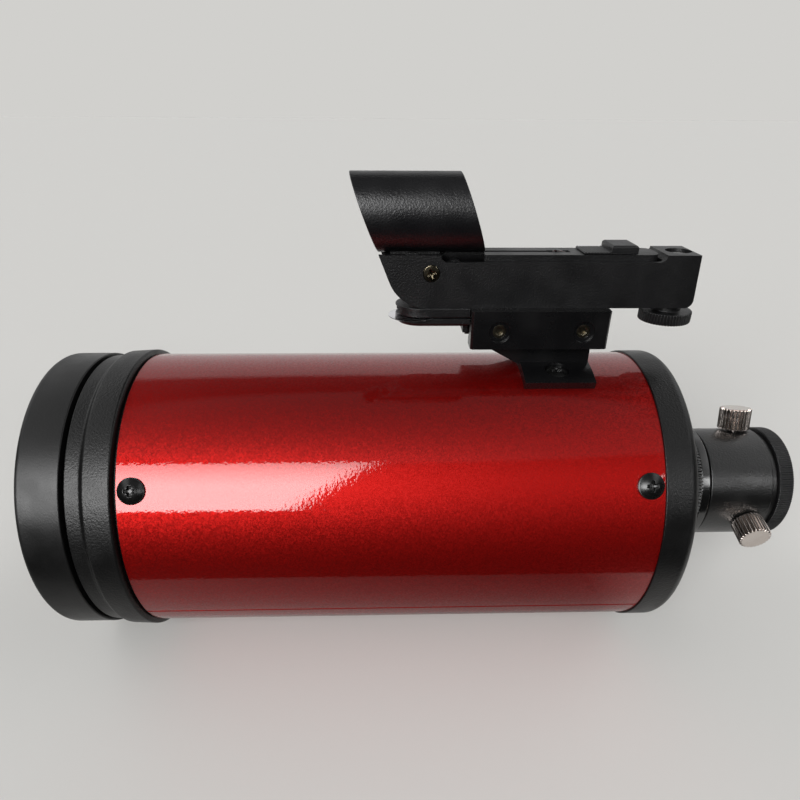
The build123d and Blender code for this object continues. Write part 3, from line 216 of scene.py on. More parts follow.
def slab(outline: np.ndarray, low: float, high: float, edge: float) -> np.ndarray:
    """Grid of a bar along X with soft ends.

    Each row is the closed outline in (y, z), drawn in towards its middle by edge at an end's face,
    by 0.3 edge a little further along and not at all after edge.

    Args:
        outline: Rows of (y, z).
        low: X of one end.
        high: X of the other end.
        edge: Size of the soft edge.

    Returns:
        Points with the shape (rows, outline, 3); the first and last row are single points.
    """
    middle = outline.mean(0)
    away = outline - middle
    unit = away / np.linalg.norm(away, axis=1, keepdims=True)
    draw = np.array([1.0, 0.3, 0.0, 0.0, 0.3, 1.0]) * edge
    x = np.array([low, low + 0.3 * edge, low + edge, high - edge, high - 0.3 * edge, high])
    rings = outline[None] - draw[:, None, None] * unit[None]
    rings = np.concatenate((np.broadcast_to(middle, rings[:1].shape), rings,
                            np.broadcast_to(middle, rings[:1].shape)))
    along = np.concatenate(([low], x, [high]))
    return np.concatenate((np.broadcast_to(along[:, None, None], rings[..., :1].shape), rings), -1)


def even_turn(columns: int) -> np.ndarray:
    """Evenly spaced angles of a full turn."""
    return np.arange(columns) * FULL_TURN / columns


def mesh_object(name: str, grids: Sequence[np.ndarray], loop: bool) -> bpy.types.Object:
    """Object of one or more grids, each closed round its angles, merged where points meet.

    Args:
        name: Name of the piece.
        grids: Grids of points in millimetres.
        loop: Whether the last profile row joins the first; otherwise both ends lie on the axis.

    Returns:
        The object, smooth, with its faces pointing outwards.
    """
    points, quads, start = [], [], 0
    for grid in grids:
        rows, columns = grid.shape[:2]
        index = start + np.arange(rows * columns).reshape(rows, columns)
        lower = index if loop else index[:-1]
        upper = np.roll(index, -1, 0) if loop else index[1:]
        quad = np.stack((lower, np.roll(lower, -1, 1), np.roll(upper, -1, 1), upper), -1)
        points.append(grid.reshape(-1, 3))
        quads.append(quad.reshape(-1, 4))
        start += rows * columns
    vertices, faces = np.vstack(points) * MM, np.vstack(quads)
    mesh = bpy.data.meshes.new(name)
    mesh.from_pydata(vertices.tolist(), [], faces.tolist())
    return tidied(name, mesh)


def tidied(name: str, mesh: bpy.types.Mesh, flat: float = 0.0) -> bpy.types.Object:
    """Merges a mesh's doubles, turns its faces outwards and links it as an object.

    Args:
        name: Name of the piece.
        mesh: Mesh in metres.
        flat: Angle in radians under which neighbouring faces become one, or 0.

    Returns:
        The linked object with smooth shading.
    """
    work = bmesh.new()
    work.from_mesh(mesh)
    bmesh.ops.remove_doubles(work, verts=work.verts, dist=2e-7)
    if flat:
        bmesh.ops.dissolve_limit(work, angle_limit=flat, verts=work.verts, edges=work.edges)
    bmesh.ops.recalc_face_normals(work, faces=work.faces)
    work.to_mesh(mesh)
    work.free()
    mesh.polygons.foreach_set("use_smooth", np.ones(len(mesh.polygons), bool))
    mesh.update()
    made = bpy.data.objects.new(name, mesh)
    bpy.context.scene.collection.objects.link(made)
    return made


def softened(name: str, node: str, edge: float, sharpest: float = 28.0) -> bpy.types.Object:
    """Copy of a frame node whose sharp edges are rounded.

    Args:
        name: Name of the piece.
        node: Frame node to copy.
        edge: Width of the rounding in millimetres.
        sharpest: Angle in degrees above which an edge is rounded.

    Returns:
        The object with a live bevel.
    """
    mesh = frame["nodes"][node].data.copy()
    mesh.materials.clear()
    made = tidied(name, mesh, flat=np.radians(0.3))
    bevel = made.modifiers.new("edge", "BEVEL")
    bevel.width = edge * MM
    bevel.segments = 3
    bevel.limit_method = "ANGLE"
    bevel.angle_limit = np.radians(sharpest)
    bevel.miter_outer = "MITER_ARC"
    return made


def dress(piece: bpy.types.Object, body: Body, finish: "Finish", slot: str, *nodes: str) -> None:
    """Gives a piece its finish and body, and hides the frame nodes that it stands for.

    Args:
        piece: Object to dress.
        body: Body that it rides on.
        finish: Its surface.
        slot: Its material slot in the record; not used.
        nodes: Frame nodes that it replaces.
    """
    piece.data.materials.clear()
    piece.data.materials.append(finish.material())
    # Large faces set the normals, so that flats stay flat beside small curves.
    piece.modifiers.new("weigh", "WEIGHTED_NORMAL").weight = 60
    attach(piece, body.value)
    if nodes:
        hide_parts(*nodes)
    log.info("%s rides on %s in %s", piece.name, body.value, finish.name)


# ---- finishes
def linear(code: str) -> tuple[float, float, float, float]:
    """Linear colour of an sRGB hex code."""
    value = np.array([int(code[i:i + 2], 16) for i in (1, 3, 5)]) / 255
    flat = np.where(value <= 0.04045, value / 12.92, ((value + 0.055) / 1.055) ** 2.4)
    return (*(float(v) for v in flat), 1.0)


def per_metre(size: float) -> float:
    """Texture scale that gives a pattern of a size in millimetres."""
    return 1.0 / (size * MM)


@dataclass(frozen=True)
class Graph:
    """A node tree with short ways to add to it."""

    tree: bpy.types.NodeTree

    def add(self, kind: str, inputs: dict[str | int, object] | None = None,
            **settings: object) -> bpy.types.Node:
        """Adds a node.

        Args:
            kind: Type of the node.
            inputs: What goes into each input: a socket is linked, anything else is set.
            settings: Attributes of the node, set before its inputs.

        Returns:
            The node.
        """
        made = self.tree.nodes.new(kind)
        for name, value in settings.items():
            setattr(made, name, value)
        for name, value in (inputs or {}).items():
            if isinstance(value, Socket):
                self.tree.links.new(value, made.inputs[name])
            else:
                made.inputs[name].default_value = value
        return made

    def maths(self, operation: str, *values: Socket | float) -> Socket:
        """One sum on sockets or numbers."""
        return self.add("ShaderNodeMath", dict(enumerate(values)), operation=operation).outputs[0]

    def vector(self, operation: str, *values: Socket | Sequence[float]) -> Socket:
        """One sum on vectors."""
        return self.add("ShaderNodeVectorMath", dict(enumerate(values)),
                        operation=operation).outputs[0]

    def rise(self, value: Socket, start: float, end: float, height: float = 1.0) -> Socket:
        """0 before start, growing evenly to a height at end."""
        return self.add("ShaderNodeMapRange", {"Value": value, "From Min": start, "From Max": end,
                                               "To Max": height}).outputs["Result"]

    def noise(self, where: Socket, size: float, detail: float, rough: float = 0.5) -> Socket:
        """Soft noise whose pattern has a size in millimetres."""
        return self.add("ShaderNodeTexNoise",
                        {"Vector": where, "Scale": per_metre(size), "Detail": detail,
                         "Roughness": rough}).outputs["Fac"]

    def mixed(self, factor: Socket, first: str, second: str) -> Socket:
        """Colour that goes from one hex code at factor 0 to another at 1."""
        return self.add("ShaderNodeMix", {0: factor, 6: linear(first), 7: linear(second)},
                        data_type="RGBA").outputs[2]

    def bump(self, height: Socket, depth: float) -> Socket:
        """Normal of a height pattern that is a depth in millimetres from low to high."""
        return self.add("ShaderNodeBump", {"Height": height, "Distance": depth * MM,
                                           "Strength": 1.0}).outputs["Normal"]


@dataclass(frozen=True)
class Finish:
    """A surface finish. Subclasses wire their pattern in wire(), with sizes in millimetres."""

    name: str
    colour: str = "#808080"
    roughness: float = 0.5
    metallic: float = 0.0

    def material(self) -> bpy.types.Material:
        """The finish's material, made once.

        Returns:
            The material with the finish's name.
        """
        made = bpy.data.materials.get(self.name)
        if made:
            return made
        made = bpy.data.materials.new(self.name)
        made.use_nodes = True
        graph = Graph(made.node_tree)
        shader = graph.tree.nodes["Principled BSDF"]
        shader.inputs["Base Color"].default_value = linear(self.colour)
        shader.inputs["Roughness"].default_value = self.roughness
        shader.inputs["Metallic"].default_value = self.metallic
        where = graph.add("ShaderNodeTexCoord").outputs["Object"]
        for name, value in self.wire(graph, shader, where).items():
            graph.tree.links.new(value, shader.inputs[name])
        return made

    def wire(self, graph: Graph, shader: bpy.types.Node, where: Socket) -> dict[str, Socket]:
        """Makes the pattern; the plain finish has none.

        Args:
            graph: Node tree of the material.
            shader: Its surface shader, for values that are the same all over.
            where: Place on the piece.

        Returns:
            The sockets to link, by the shader's inputs.
        """
        return {}

    def mottled(self, graph: Graph, where: Socket, other: str, size: float) -> Socket:
        """Colour that drifts softly towards another over patches of a size."""
        return graph.mixed(graph.noise(where, size, 3.0), self.colour, other)

    def roughened(self, graph: Graph, where: Socket, spread: float, size: float) -> Socket:
        """Roughness that varies by a spread over patches of a size."""
        return graph.add("ShaderNodeMapRange",
                         {"Value": graph.noise(where, size, 4.0), "From Min": 0.3,
                          "From Max": 0.7, "To Min": self.roughness - spread,
                          "To Max": self.roughness + spread}).outputs["Result"]


@dataclass(frozen=True)
class FlakePaint(Finish):
    """Sprayed metallic enamel under clear lacquer: flakes glint, the lacquer mirrors the room."""

    other: str = "#880906"
    flake: float = 0.4
    flake_tilt: float = 0.13
    peel: float = 0.9
    peel_depth: float = 0.018

    def wire(self, graph: Graph, shader: bpy.types.Node, where: Socket) -> dict[str, Socket]:
        """Each flake is a cell with its own shade and tilt; the lacquer has faint orange peel."""
        cells = graph.add("ShaderNodeTexVoronoi",
                          {"Vector": where, "Scale": per_metre(self.flake)}).outputs["Color"]
        shade = graph.add("ShaderNodeSeparateColor", {"Color": cells}).outputs["Red"]
        away = graph.vector("SUBTRACT", cells, (0.5, 0.5, 0.5))
        lean = graph.add("ShaderNodeVectorMath", {0: away, "Scale": self.flake_tilt},
                         operation="SCALE").outputs[0]
        face = graph.add("ShaderNodeNewGeometry").outputs["Normal"]
        peel = graph.bump(graph.noise(where, self.peel, 1.0), self.peel_depth)
        shader.inputs["Coat Weight"].default_value = 1.0
        shader.inputs["Coat Roughness"].default_value = 0.03
        shader.inputs["Coat IOR"].default_value = 1.5
        return {"Base Color": graph.mixed(shade, self.other, self.colour),
                "Normal": graph.vector("NORMALIZE", graph.vector("ADD", face, lean)),
                "Coat Normal": peel}


@dataclass(frozen=True)
class GrainedBlack(Finish):
    """Moulded, cast or blasted black with a fine grain that breaks up its sheen."""

    other: str = "#161617"
    grain: float = 0.35
    depth: float = 0.02
    patch: float = 14.0
    sheen: float = 0.5

    def wire(self, graph: Graph, shader: bpy.types.Node, where: Socket) -> dict[str, Socket]:
        """Grain is fine noise in height; colour and roughness drift over larger patches."""
        shader.inputs["Specular IOR Level"].default_value = self.sheen
        grit = graph.noise(where, self.grain, 2.0, 0.6)
        return {"Base Color": self.mottled(graph, where, self.other, self.patch),
                "Roughness": self.roughened(graph, where, 0.06, self.patch * 0.6),
                "Normal": graph.bump(grit, self.depth)}


@dataclass(frozen=True)
class TurnedMetal(Finish):
    """Lathe-turned and plated or oxidised metal, with faint tool marks and a varying sheen."""

    other: str = "#A8A49A"
    mark: float = 0.18
    depth: float = 0.004

    def wire(self, graph: Graph, shader: bpy.types.Node, where: Socket) -> dict[str, Socket]:
        """Tool marks are fine noise in height over a slow drift of colour."""
        marks = graph.noise(where, self.mark, 3.0)
        return {"Base Color": self.mottled(graph, where, self.other, 3.0),
                "Roughness": self.roughened(graph, where, 0.05, 1.6),
                "Normal": graph.bump(marks, self.depth)}


@dataclass(frozen=True)
class ClearPiece(Finish):
    """Polished optical glass or clear film, with a faint coating tint that drifts."""

    other: str = "#D8F0E6"
    ior: float = 1.52

    def wire(self, graph: Graph, shader: bpy.types.Node, where: Socket) -> dict[str, Socket]:
        """Clear all through, with its tint varied over broad patches."""
        shader.inputs["Transmission Weight"].default_value = 1.0
        shader.inputs["IOR"].default_value = self.ior
        return {"Base Color": self.mottled(graph, where, self.other, 20.0)}


class Finishes:
    """The finishes of this telescope, each with what it gives the eye.

    Flakes and grain are drawn coarser than real ones, so that they still show from far off.
    """

    # Deep red that glows where the room is bright, under a wet lacquer with a sharp highlight.
    TUBE_ENAMEL = FlakePaint("tube_enamel", "#A20D09", 0.48, 0.9)
    # Painted die casting: near black, with a coarse leathery grain along its soft highlight.
    CELL_CASTING = GrainedBlack("cell_casting", "#060606", 0.37, other="#0A0A0A", grain=0.6,
                                depth=0.1, sheen=0.36)
    # Smooth pressed plastic: a broad, even grey highlight.
    CAP_MOULDING = GrainedBlack("cap_moulding", "#080808", 0.38, other="#0C0C0C", grain=0.5,
                                depth=0.03, sheen=0.38)
    # Spark-eroded plastic: flat dark grey walls with a dry, sandy look.
    SIGHT_MOULDING = GrainedBlack("sight_moulding", "#09090A", 0.4, other="#0D0D0E", grain=0.5,
                                  depth=0.11, sheen=0.42)
    # Hood plastic: darker, with a speckled streak where the window falls on it.
    HOOD_MOULDING = GrainedBlack("hood_moulding", "#08080A", 0.35, other="#0C0C0E", grain=0.55,
                                 depth=0.085)
    # Stove enamel on the foot: glossier than the plastic above it.
    FOOT_ENAMEL = GrainedBlack("foot_enamel", "#070708", 0.28, other="#0A0A0B", grain=0.7,
                               depth=0.03)
    # Bead-blasted anodising: satin black with a glittering highlight.
    BLASTED_ANODISING = GrainedBlack("blasted_anodising", "#050505", 0.33, other="#090909",
                                     grain=0.6, depth=0.095, sheen=0.65)
    # Turned anodising: tight bright lines on the crests of flutes and the collar.
    BRIGHT_ANODISING = GrainedBlack("bright_anodising", "#0A0A0A", 0.2, other="#101010",
                                    grain=0.5, depth=0.004, sheen=1.0)
    # Lacquered screw heads: glossy black domes with small reflections.
    BLACK_LACQUER = TurnedMetal("black_lacquered_steel", "#060606", 0.28, 0.0, other="#0C0C0C")
    # Oiled steel of the socket screws: a dull warm glint round a dark hexagon.
    SOCKET_STEEL = TurnedMetal("socket_steel", "#7A7362", 0.3, 1.0, other="#4E493E")
    # Blackened steel: a dark metallic sheen.
    BLACK_OXIDE = TurnedMetal("black_oxide_steel", "#0F0F10", 0.3, 0.6, other="#181819")
    # Nickel plate: bright and faintly warm, with near-mirror ridges.
    NICKEL = TurnedMetal("nickel_plate", "#DCD3CD", 0.17, 1.0, other="#C9BFB8")
    # Tarnished nickel: brassy points of light in a small dark head.
    DARK_NICKEL = TurnedMetal("dark_nickel_screw", "#8F8672", 0.22, 1.0, other="#5A5344")
    # Zinc plate: even cool grey metal on nuts, pins and springs.
    ZINC = TurnedMetal("zinc_steel", "#B4B4B2", 0.3, 1.0, other="#9C9C99")
    # Aluminised glass: a clean mirror.
    MIRROR = TurnedMetal("aluminised_mirror", "#F2F2F2", 0.02, 1.0, other="#ECEDEE", depth=0.0)
    # Coated glass: clear, with a pale green cast.
    LENS = ClearPiece("coated_glass", "#EEF8F4", 0.01)
    # Thin film: all but invisible, seen mainly by its edge.
    FILM = ClearPiece("pull_film", "#FCFCFF", 0.0, other="#F6F6FD", ior=1.12)
    # Tinted epoxy: deep clear red.
    LAMP = ClearPiece("lamp_epoxy", "#C01010", 0.08, other="#A00808", ior=1.5)


# ---- fasteners
class Drive(Enum):
    """Recess in a screw's head."""

    CROSS = "cross"
    HEX = "hex"


@dataclass(frozen=True)
class ScrewHead:
    """A screw's head with a domed or flat top and its drive recess.

    dome is the fall of the top as a share of the height, edge the soft rim, recess the depth of
    the drive, socket half a hexagon's width, and arm the reach of a cross as a share of the radius.
    """

    radius: float
    height: float
    drive: Drive = Drive.CROSS
    dome: float = 0.45
    edge: float = 0.35
    recess: float = 0.6
    socket: float = 1.25
    arm: float = 0.56

    def depth(self, r: np.ndarray, t: np.ndarray) -> np.ndarray:
        """Recess depth: two tapered arms round a core, or the inside of a hexagon.

        Args:
            r: Distance from the screw's axis.
            t: Angle round it.

        Returns:
            The depth at each point.
        """
        if self.drive is Drive.HEX:
            sixth = np.mod(t + np.pi / 6, np.pi / 3) - np.pi / 6
            inside = np.clip((self.socket - r * np.cos(sixth)) / 0.12, 0, 1)
            return self.recess * inside * inside * (3 - 2 * inside)
        x, y = np.abs(r * np.cos(t)), np.abs(r * np.sin(t))
        arm, half = self.radius * self.arm, self.radius * 0.11
        deep = self.recess * np.clip(1.25 - 0.75 * np.maximum(x, y) / arm, 0, 1)
        wide = np.clip((half - np.minimum(x, y)) / (0.5 * half) + 0.5, 0, 1)
        long = np.clip((arm - np.maximum(x, y)) / (0.12 * arm), 0, 1)
        core = np.clip((1.9 * half - np.hypot(x, y)) / half + 0.3, 0, 1)
        return np.maximum(deep * wide * long, self.recess * core)

    def grid(self, place: Place, below: float) -> np.ndarray:
        """Head and shank: the top falls by dome (r / radius)^2, then the side goes down.

        Args:
            place: Seat of the head, pointing outwards.
            below: How far the shank reaches under the seat.

        Returns:
            The grid of points.
        """
        r = np.linspace(0, self.radius - self.edge, 34)
        top = np.stack((self.height - self.dome * self.height * (r / self.radius) ** 2, r), -1)
        rim_height = top[-1, 0]
        shank = self.radius * 0.5
        side = rounded([(rim_height, r[-1]), (rim_height - 0.04, self.radius), (0, self.radius),
                        (0, shank), (-below, shank), (-below, 0)], 0.3, closed=False)
        profile = np.vstack((top, side[1:]))
        limit = self.radius - self.edge

        def sink(radius: np.ndarray, t: np.ndarray) -> np.ndarray:
            """The recess, on the top alone."""
            on_top = np.arange(radius.shape[0])[:, None] < len(top)
            return np.where(on_top & (radius < limit), self.depth(radius, t), 0.0)

        return turned(profile, even_turn(120), place, sink=sink)


def screw_set(name: str, head: ScrewHead, places: Sequence[Place], below: float,
              body: Body, finish: Finish, slot: str, node: str) -> None:
    """A set of equal screws as one piece that stands for one frame node.

    Args:
        name: Name of the piece.
        head: Shape of each head.
        places: Seat of each head.
        below: How far each shank reaches under its seat.
        body: Body that they ride on.
        finish: Their surface.
        slot: Material slot in the record.
        node: Frame node that they replace.
    """
    made = mesh_object(name, [head.grid(p, below) for p in places], loop=False)
    dress(made, body, finish, slot, node)


# ---- front
# The spigot of either cell, inside the tube.
SPIGOT_RADIUS = 43.75
SPIGOT_WALL = 2.7


@dataclass
class FrontEnd:
    """Dust cap, front cell and the optics that it carries."""

    insert_radius: float = 42.6
    nose_radius: float = 44.6
    nose_length: float = 4.3
    ring_length: float = 10.1
    ring_front_rise: float = 1.0
    ring_rise: float = 1.4
    ring_base: float = 45.0
    groove_width: float = 0.75
    groove_floor: float = 44.1
    aperture: float = 34.5
    lens_seat: float = 8.0
    cap_wall: float = 2.5
    lens_radius: float = 36.5
    lens_depth: float = 8.0
    bowl_radius: float = 34.3
    front_curve: float = 105.0
    rear_curve: float = 108.0
    columns: int = 480

    def build(self) -> None:
        """Builds every piece of the front end."""
        self.cap()
        self.cell()
        self.optics()

    def cap(self) -> None:
        """Dust cap: a closed cup with a soft front rim."""
        low, high = reach("dust_cap")
        front, rear, outer = low[0], high[0], high[2]
        inner = self.insert_radius + 0.08
        profile = rounded([(front + self.cap_wall, 0), (front + self.cap_wall, inner),
                           (rear, inner), (rear, outer), (front, outer), (front, 0)],
                          [0, 0.6, 0.35, 0.45, 1.5, 0], steps=8, closed=False)
        made = mesh_object("cap_cup", [turned(profile, even_turn(self.columns))], loop=False)
        dress(made, Body.CAP, Finishes.CAP_MOULDING, "cap_plastic", "dust_cap")

    def cell(self) -> None:
        """Front cell: spigot, dark groove beside the tube, raised ring, nose and cap seat."""
        low, high = reach("front_cell")
        tube_front = reach("main_tube")[0][0]
        ring = tube_front - self.ring_length
        nose = ring - self.nose_length
        floor, base, pocket = self.groove_floor, self.ring_base, self.lens_radius + 0.1
        seat, lip = tube_front - self.lens_seat, tube_front - self.groove_width
        points = [(tube_front, floor), (tube_front, SPIGOT_RADIUS), (high[0], SPIGOT_RADIUS),
                  (high[0], SPIGOT_RADIUS - SPIGOT_WALL), (tube_front, self.aperture),
                  (seat, self.aperture), (seat, pocket), (low[0], pocket),
                  (low[0], self.insert_radius), (nose, self.insert_radius),
                  (nose, self.nose_radius), (ring + 0.3, self.nose_radius),
                  (ring + 1.3, base + self.ring_front_rise), (lip - 0.4, base + self.ring_rise),
                  (lip, base), (lip, floor)]
        radii = [0.1, 0.1, 0.4, 0.3, 0.4, 0.2, 0.1, 0.4, 0.4, 0.2, 0.5, 0.9, 0.5, 0.6, 0.3, 0.1]
        grid = turned(rounded(points, radii, steps=6), even_turn(self.columns))
        made = mesh_object("front_cell_ring", [grid], loop=True)
        dress(made, Body.TUBE, Finishes.CELL_CASTING, "black_casting", "front_cell")

    def optics(self) -> None:
        """Corrector lens: a concave sky face and a bulged rear face.

        Both are spheres: x = vertex - R + sqrt(R^2 - r^2).
        """
        rear_vertex = reach("corrector_lens")[1][0]
        share = np.linspace(0, 1, 24)
        faces = []
        for vertex, curve, radius in (
            (rear_vertex - self.lens_depth, self.front_curve, self.lens_radius),
            (rear_vertex, self.rear_curve, self.bowl_radius),
        ):
            r = radius * share
            faces.append(np.stack((vertex - curve + np.sqrt(curve**2 - r**2), r), -1))
        front, rear = faces
        seat, edge = rear[-1, 0], self.lens_radius
        profile = np.vstack((front, [(seat - 0.2, edge), (seat, edge - 0.2)], rear[::-1]))
        made = mesh_object("corrector", [turned(profile, even_turn(240))], loop=False)
        dress(made, Body.TUBE, Finishes.LENS, "optical_glass", "corrector_lens")


# ---- tube
@dataclass
class MainTube:
    """Enamelled tube with a rolled seam, and the screws of both cells."""

    wall: float = 1.2
    seam_angle: float = 118.0
    seam_width: float = 0.5
    seam_depth: float = 0.3
    seam_span: float = 1.4
    screw_angles: tuple[float, ...] = (60.0, 180.0, 300.0)
    screw_inset: float = 4.35
    head: ScrewHead = ScrewHead(3.8, 1.9, dome=0.75, edge=0.25, recess=1.0, arm=0.42)

    def build(self) -> None:
        """Builds the tube and its six screws."""
        low, high = reach("main_tube")
        outer = high[2]
        profile = rounded([(low[0], outer), (high[0], outer), (high[0], outer - self.wall),
                           (low[0], outer - self.wall)], 0.12, steps=4)
        seam, span = np.radians(self.seam_angle), np.radians(self.seam_span)
        near = seam + np.radians(np.linspace(-self.seam_span, self.seam_span, 57))
        rest = seam + np.linspace(span, FULL_TURN - span, 600)[1:-1]
        half = self.seam_width / 2 / outer

        def groove(_: np.ndarray, t: np.ndarray) -> np.ndarray:
            """Bell-shaped groove along the seam."""
            return self.seam_depth * np.exp(-(((t - seam) / half) ** 2))

        grid = turned(profile, np.concatenate((near, rest)), relief=groove)
        made = mesh_object("tube_shell", [grid], loop=True)
        dress(made, Body.TUBE, Finishes.TUBE_ENAMEL, "red_tube", "main_tube")
        for name, x in (("front", low[0] + self.screw_inset), ("rear", high[0] - self.screw_inset)):
            places = [radial(x, a, outer - 0.05) for a in self.screw_angles]
            screw_set(f"{name}_cell_screws", self.head, places, 4.0, Body.TUBE,
                      Finishes.BLACK_LACQUER, "black_steel", f"{name}_screws")


# ---- rear
@dataclass
class RearEnd:
    """Rear cell, focus ring, eyepiece holder with its thumbscrews, and the plug."""

    bevel_length: float = 2.1
    bevel_depth: float = 1.9
    wall: float = 4.0
    boss_radius: float = 24.0
    boss_length: float = 1.9
    neck_radius: float = 16.5
    flutes: int = 110
    flute_depth: float = 0.5
    plug_ribs: int = 150
    rib_depth: float = 0.22
    plug_floor: float = 2.0
    plug_wall: float = 1.6
    collar_bore: float = 15.5
    holder_bore: float = 15.95
    holder_shelf: float = 5.3
    holder_rim: float = 17.5
    holder_step: float = 1.9
    thumb_angles: tuple[float, float] = (-14.0, 106.0)
    thumb_seat: float = 18.8
    thumb_radius: float = 5.0
    thumb_height: float = 7.3
    thumb_shank: tuple[float, float] = (2.35, 1.95)
    thumb_ridges: int = 26
    thumb_groove: float = 0.85
    thumb_ring: float = 0.55
    columns: int = 480

    def build(self) -> None:
        """Builds every piece of the rear end."""
        self.cell()
        self.focus_ring()
        self.collar()
        self.holder()
        self.plug()
        self.thumbscrews()

    def cell(self) -> None:
        """Rear cell: a turned cover with a rounded rim and a shallow boss."""
        low, high = reach("rear_cell")
        tube_rear = reach("main_tube")[1][0]
        outer, face = high[2], high[0] - self.boss_length
        spigot, socket = SPIGOT_RADIUS, SPIGOT_RADIUS - SPIGOT_WALL
        points = [(tube_rear, outer), (face - self.bevel_length, outer),
                  (face - 0.7, outer - 0.76), (face, outer - self.bevel_depth),
                  (face, self.boss_radius), (high[0], self.boss_radius),
                  (high[0], self.neck_radius), (face - self.wall, self.neck_radius),
                  (face - self.wall, socket), (low[0], socket), (low[0], spigot),
                  (tube_rear, spigot)]
        radii = [0.25, 0.9, 0.9, 0.5, 0.4, 0.4, 0.2, 0.2, 0.5, 0.3, 0.3, 0.1]
        grid = turned(rounded(points, radii, steps=6), even_turn(self.columns))
        made = mesh_object("rear_cell_cover", [grid], loop=True)
        dress(made, Body.TUBE, Finishes.CELL_CASTING, "black_casting", "rear_cell")

    def focus_ring(self) -> None:
        """Focus ring: V flutes all round, of even pitch, with broken edges."""
        low, high = reach("focus_ring")
        outer, bore = high[2], self.neck_radius + 0.08
        outline = rounded([(low[0], bore), (low[0], outer), (high[0], outer), (high[0], bore)],
                          [0.2, 0.7, 0.7, 0.2], steps=7)

        def flutes(_: np.ndarray, t: np.ndarray) -> np.ndarray:
            """Grooves that run out towards the two rims and don't touch the bore."""
            wave = 1 - np.abs(np.mod(self.flutes * t / np.pi, 2) - 1)
            return self.flute_depth * wave * on_wall(outline, outer)

        grid = turned(outline, even_turn(self.flutes * 8), relief=flutes)
        made = mesh_object("focus_grip", [grid], loop=True)
        dress(made, Body.FOCUS, Finishes.BRIGHT_ANODISING, "black_anodised", "focus_ring")

    def collar(self) -> None:
        """Smooth collar between focus ring and holder."""
        low, high = reach("neck_collar")
        bore = self.collar_bore
        outline = rounded([(low[0], bore), (low[0], high[2]), (high[0], high[2]), (high[0], bore)],
                          [0.1, 0.35, 0.35, 0.1])
        made = mesh_object("collar_ring", [turned(outline, even_turn(300))], loop=True)
        dress(made, Body.TUBE, Finishes.BRIGHT_ANODISING, "black_anodised", "neck_collar")

    def holder(self) -> None:
        """Eyepiece holder: a blasted sleeve with a stepped-down rear rim."""
        low, high = reach("eyepiece_holder")
        step, shelf = high[0] - self.holder_step, low[0] + self.holder_shelf
        outer, rim, bore = high[2], self.holder_rim, self.holder_bore
        points = [(low[0], self.collar_bore), (low[0], outer), (step, outer), (step, rim),
                  (high[0], rim), (high[0], bore), (shelf, bore), (shelf, self.collar_bore)]
        outline = rounded(points, [0.1, 0.4, 0.45, 0.15, 0.3, 0.3, 0.1, 0.1], steps=6)
        made = mesh_object("holder_sleeve", [turned(outline, even_turn(360))], loop=True)
        dress(made, Body.TUBE, Finishes.BLASTED_ANODISING, "black_anodised", "eyepiece_holder")

    def plug(self) -> None:
        """Bore plug: a hollow stopper with a finely ribbed rim."""
        low, high = reach("eyepiece_plug")
        sleeve_low, sleeve_high = reach("plug_sleeve")
        rim, body, end = high[2], sleeve_high[2], sleeve_low[0]
        hollow, floor = body - self.plug_wall, high[0] - self.plug_floor
        points = [(floor, 0), (floor, hollow), (end, hollow), (end, body), (low[0], body),
                  (low[0], rim), (high[0], rim), (high[0], 0)]
        outline = rounded(points, [0, 0.4, 0.3, 0.4, 0.2, 0.4, 0.8, 0], steps=7, closed=False)
        ribs = grooves(on_wall(outline, rim), self.plug_ribs, self.rib_depth, 1.5)
        grid = turned(outline, even_turn(self.plug_ribs * 6), relief=ribs)
        made = mesh_object("plug_stopper", [grid], loop=False)
        dress(made, Body.PLUG, Finishes.SIGHT_MOULDING, "black_plastic", "eyepiece_plug",
              "plug_sleeve")

    def thumbscrews(self) -> None:
        """Two nickel thumbscrews: coarse straight knurling, turned rings on the outer face."""
        radius, height, (below, shank) = self.thumb_radius, self.thumb_height, self.thumb_shank
        outline = rounded([(-below, 0), (-below, shank), (0, shank), (0, radius),
                           (height, radius), (height, 0)],
                          [0, 0.3, 0.1, 0.5, 0.55, 0], steps=7, closed=False)
        facing = np.linspace(outline[-2, 1], 0, 40)[1:]
        rings = height - 0.008 * (0.5 - 0.5 * np.cos(facing * FULL_TURN / self.thumb_ring))
        outline = np.vstack((outline[:-1], np.stack((rings, facing), -1)))
        knurl = grooves(on_wall(outline, radius, 0.8), self.thumb_ridges, self.thumb_groove, 1.3)
        x = float(np.mean([c[0] for c in reach("thumbscrew_top")]))
        for side, angle, body in (("top", self.thumb_angles[0], Body.TOP_THUMB),
                                  ("side", self.thumb_angles[1], Body.SIDE_THUMB)):
            grid = turned(outline, even_turn(self.thumb_ridges * 12),
                          radial(x, angle, self.thumb_seat), relief=knurl)
            made = mesh_object(f"{side}_thumbscrew", [grid], loop=False)
            dress(made, body, Finishes.NICKEL, "nickel", f"thumbscrew_{side}")


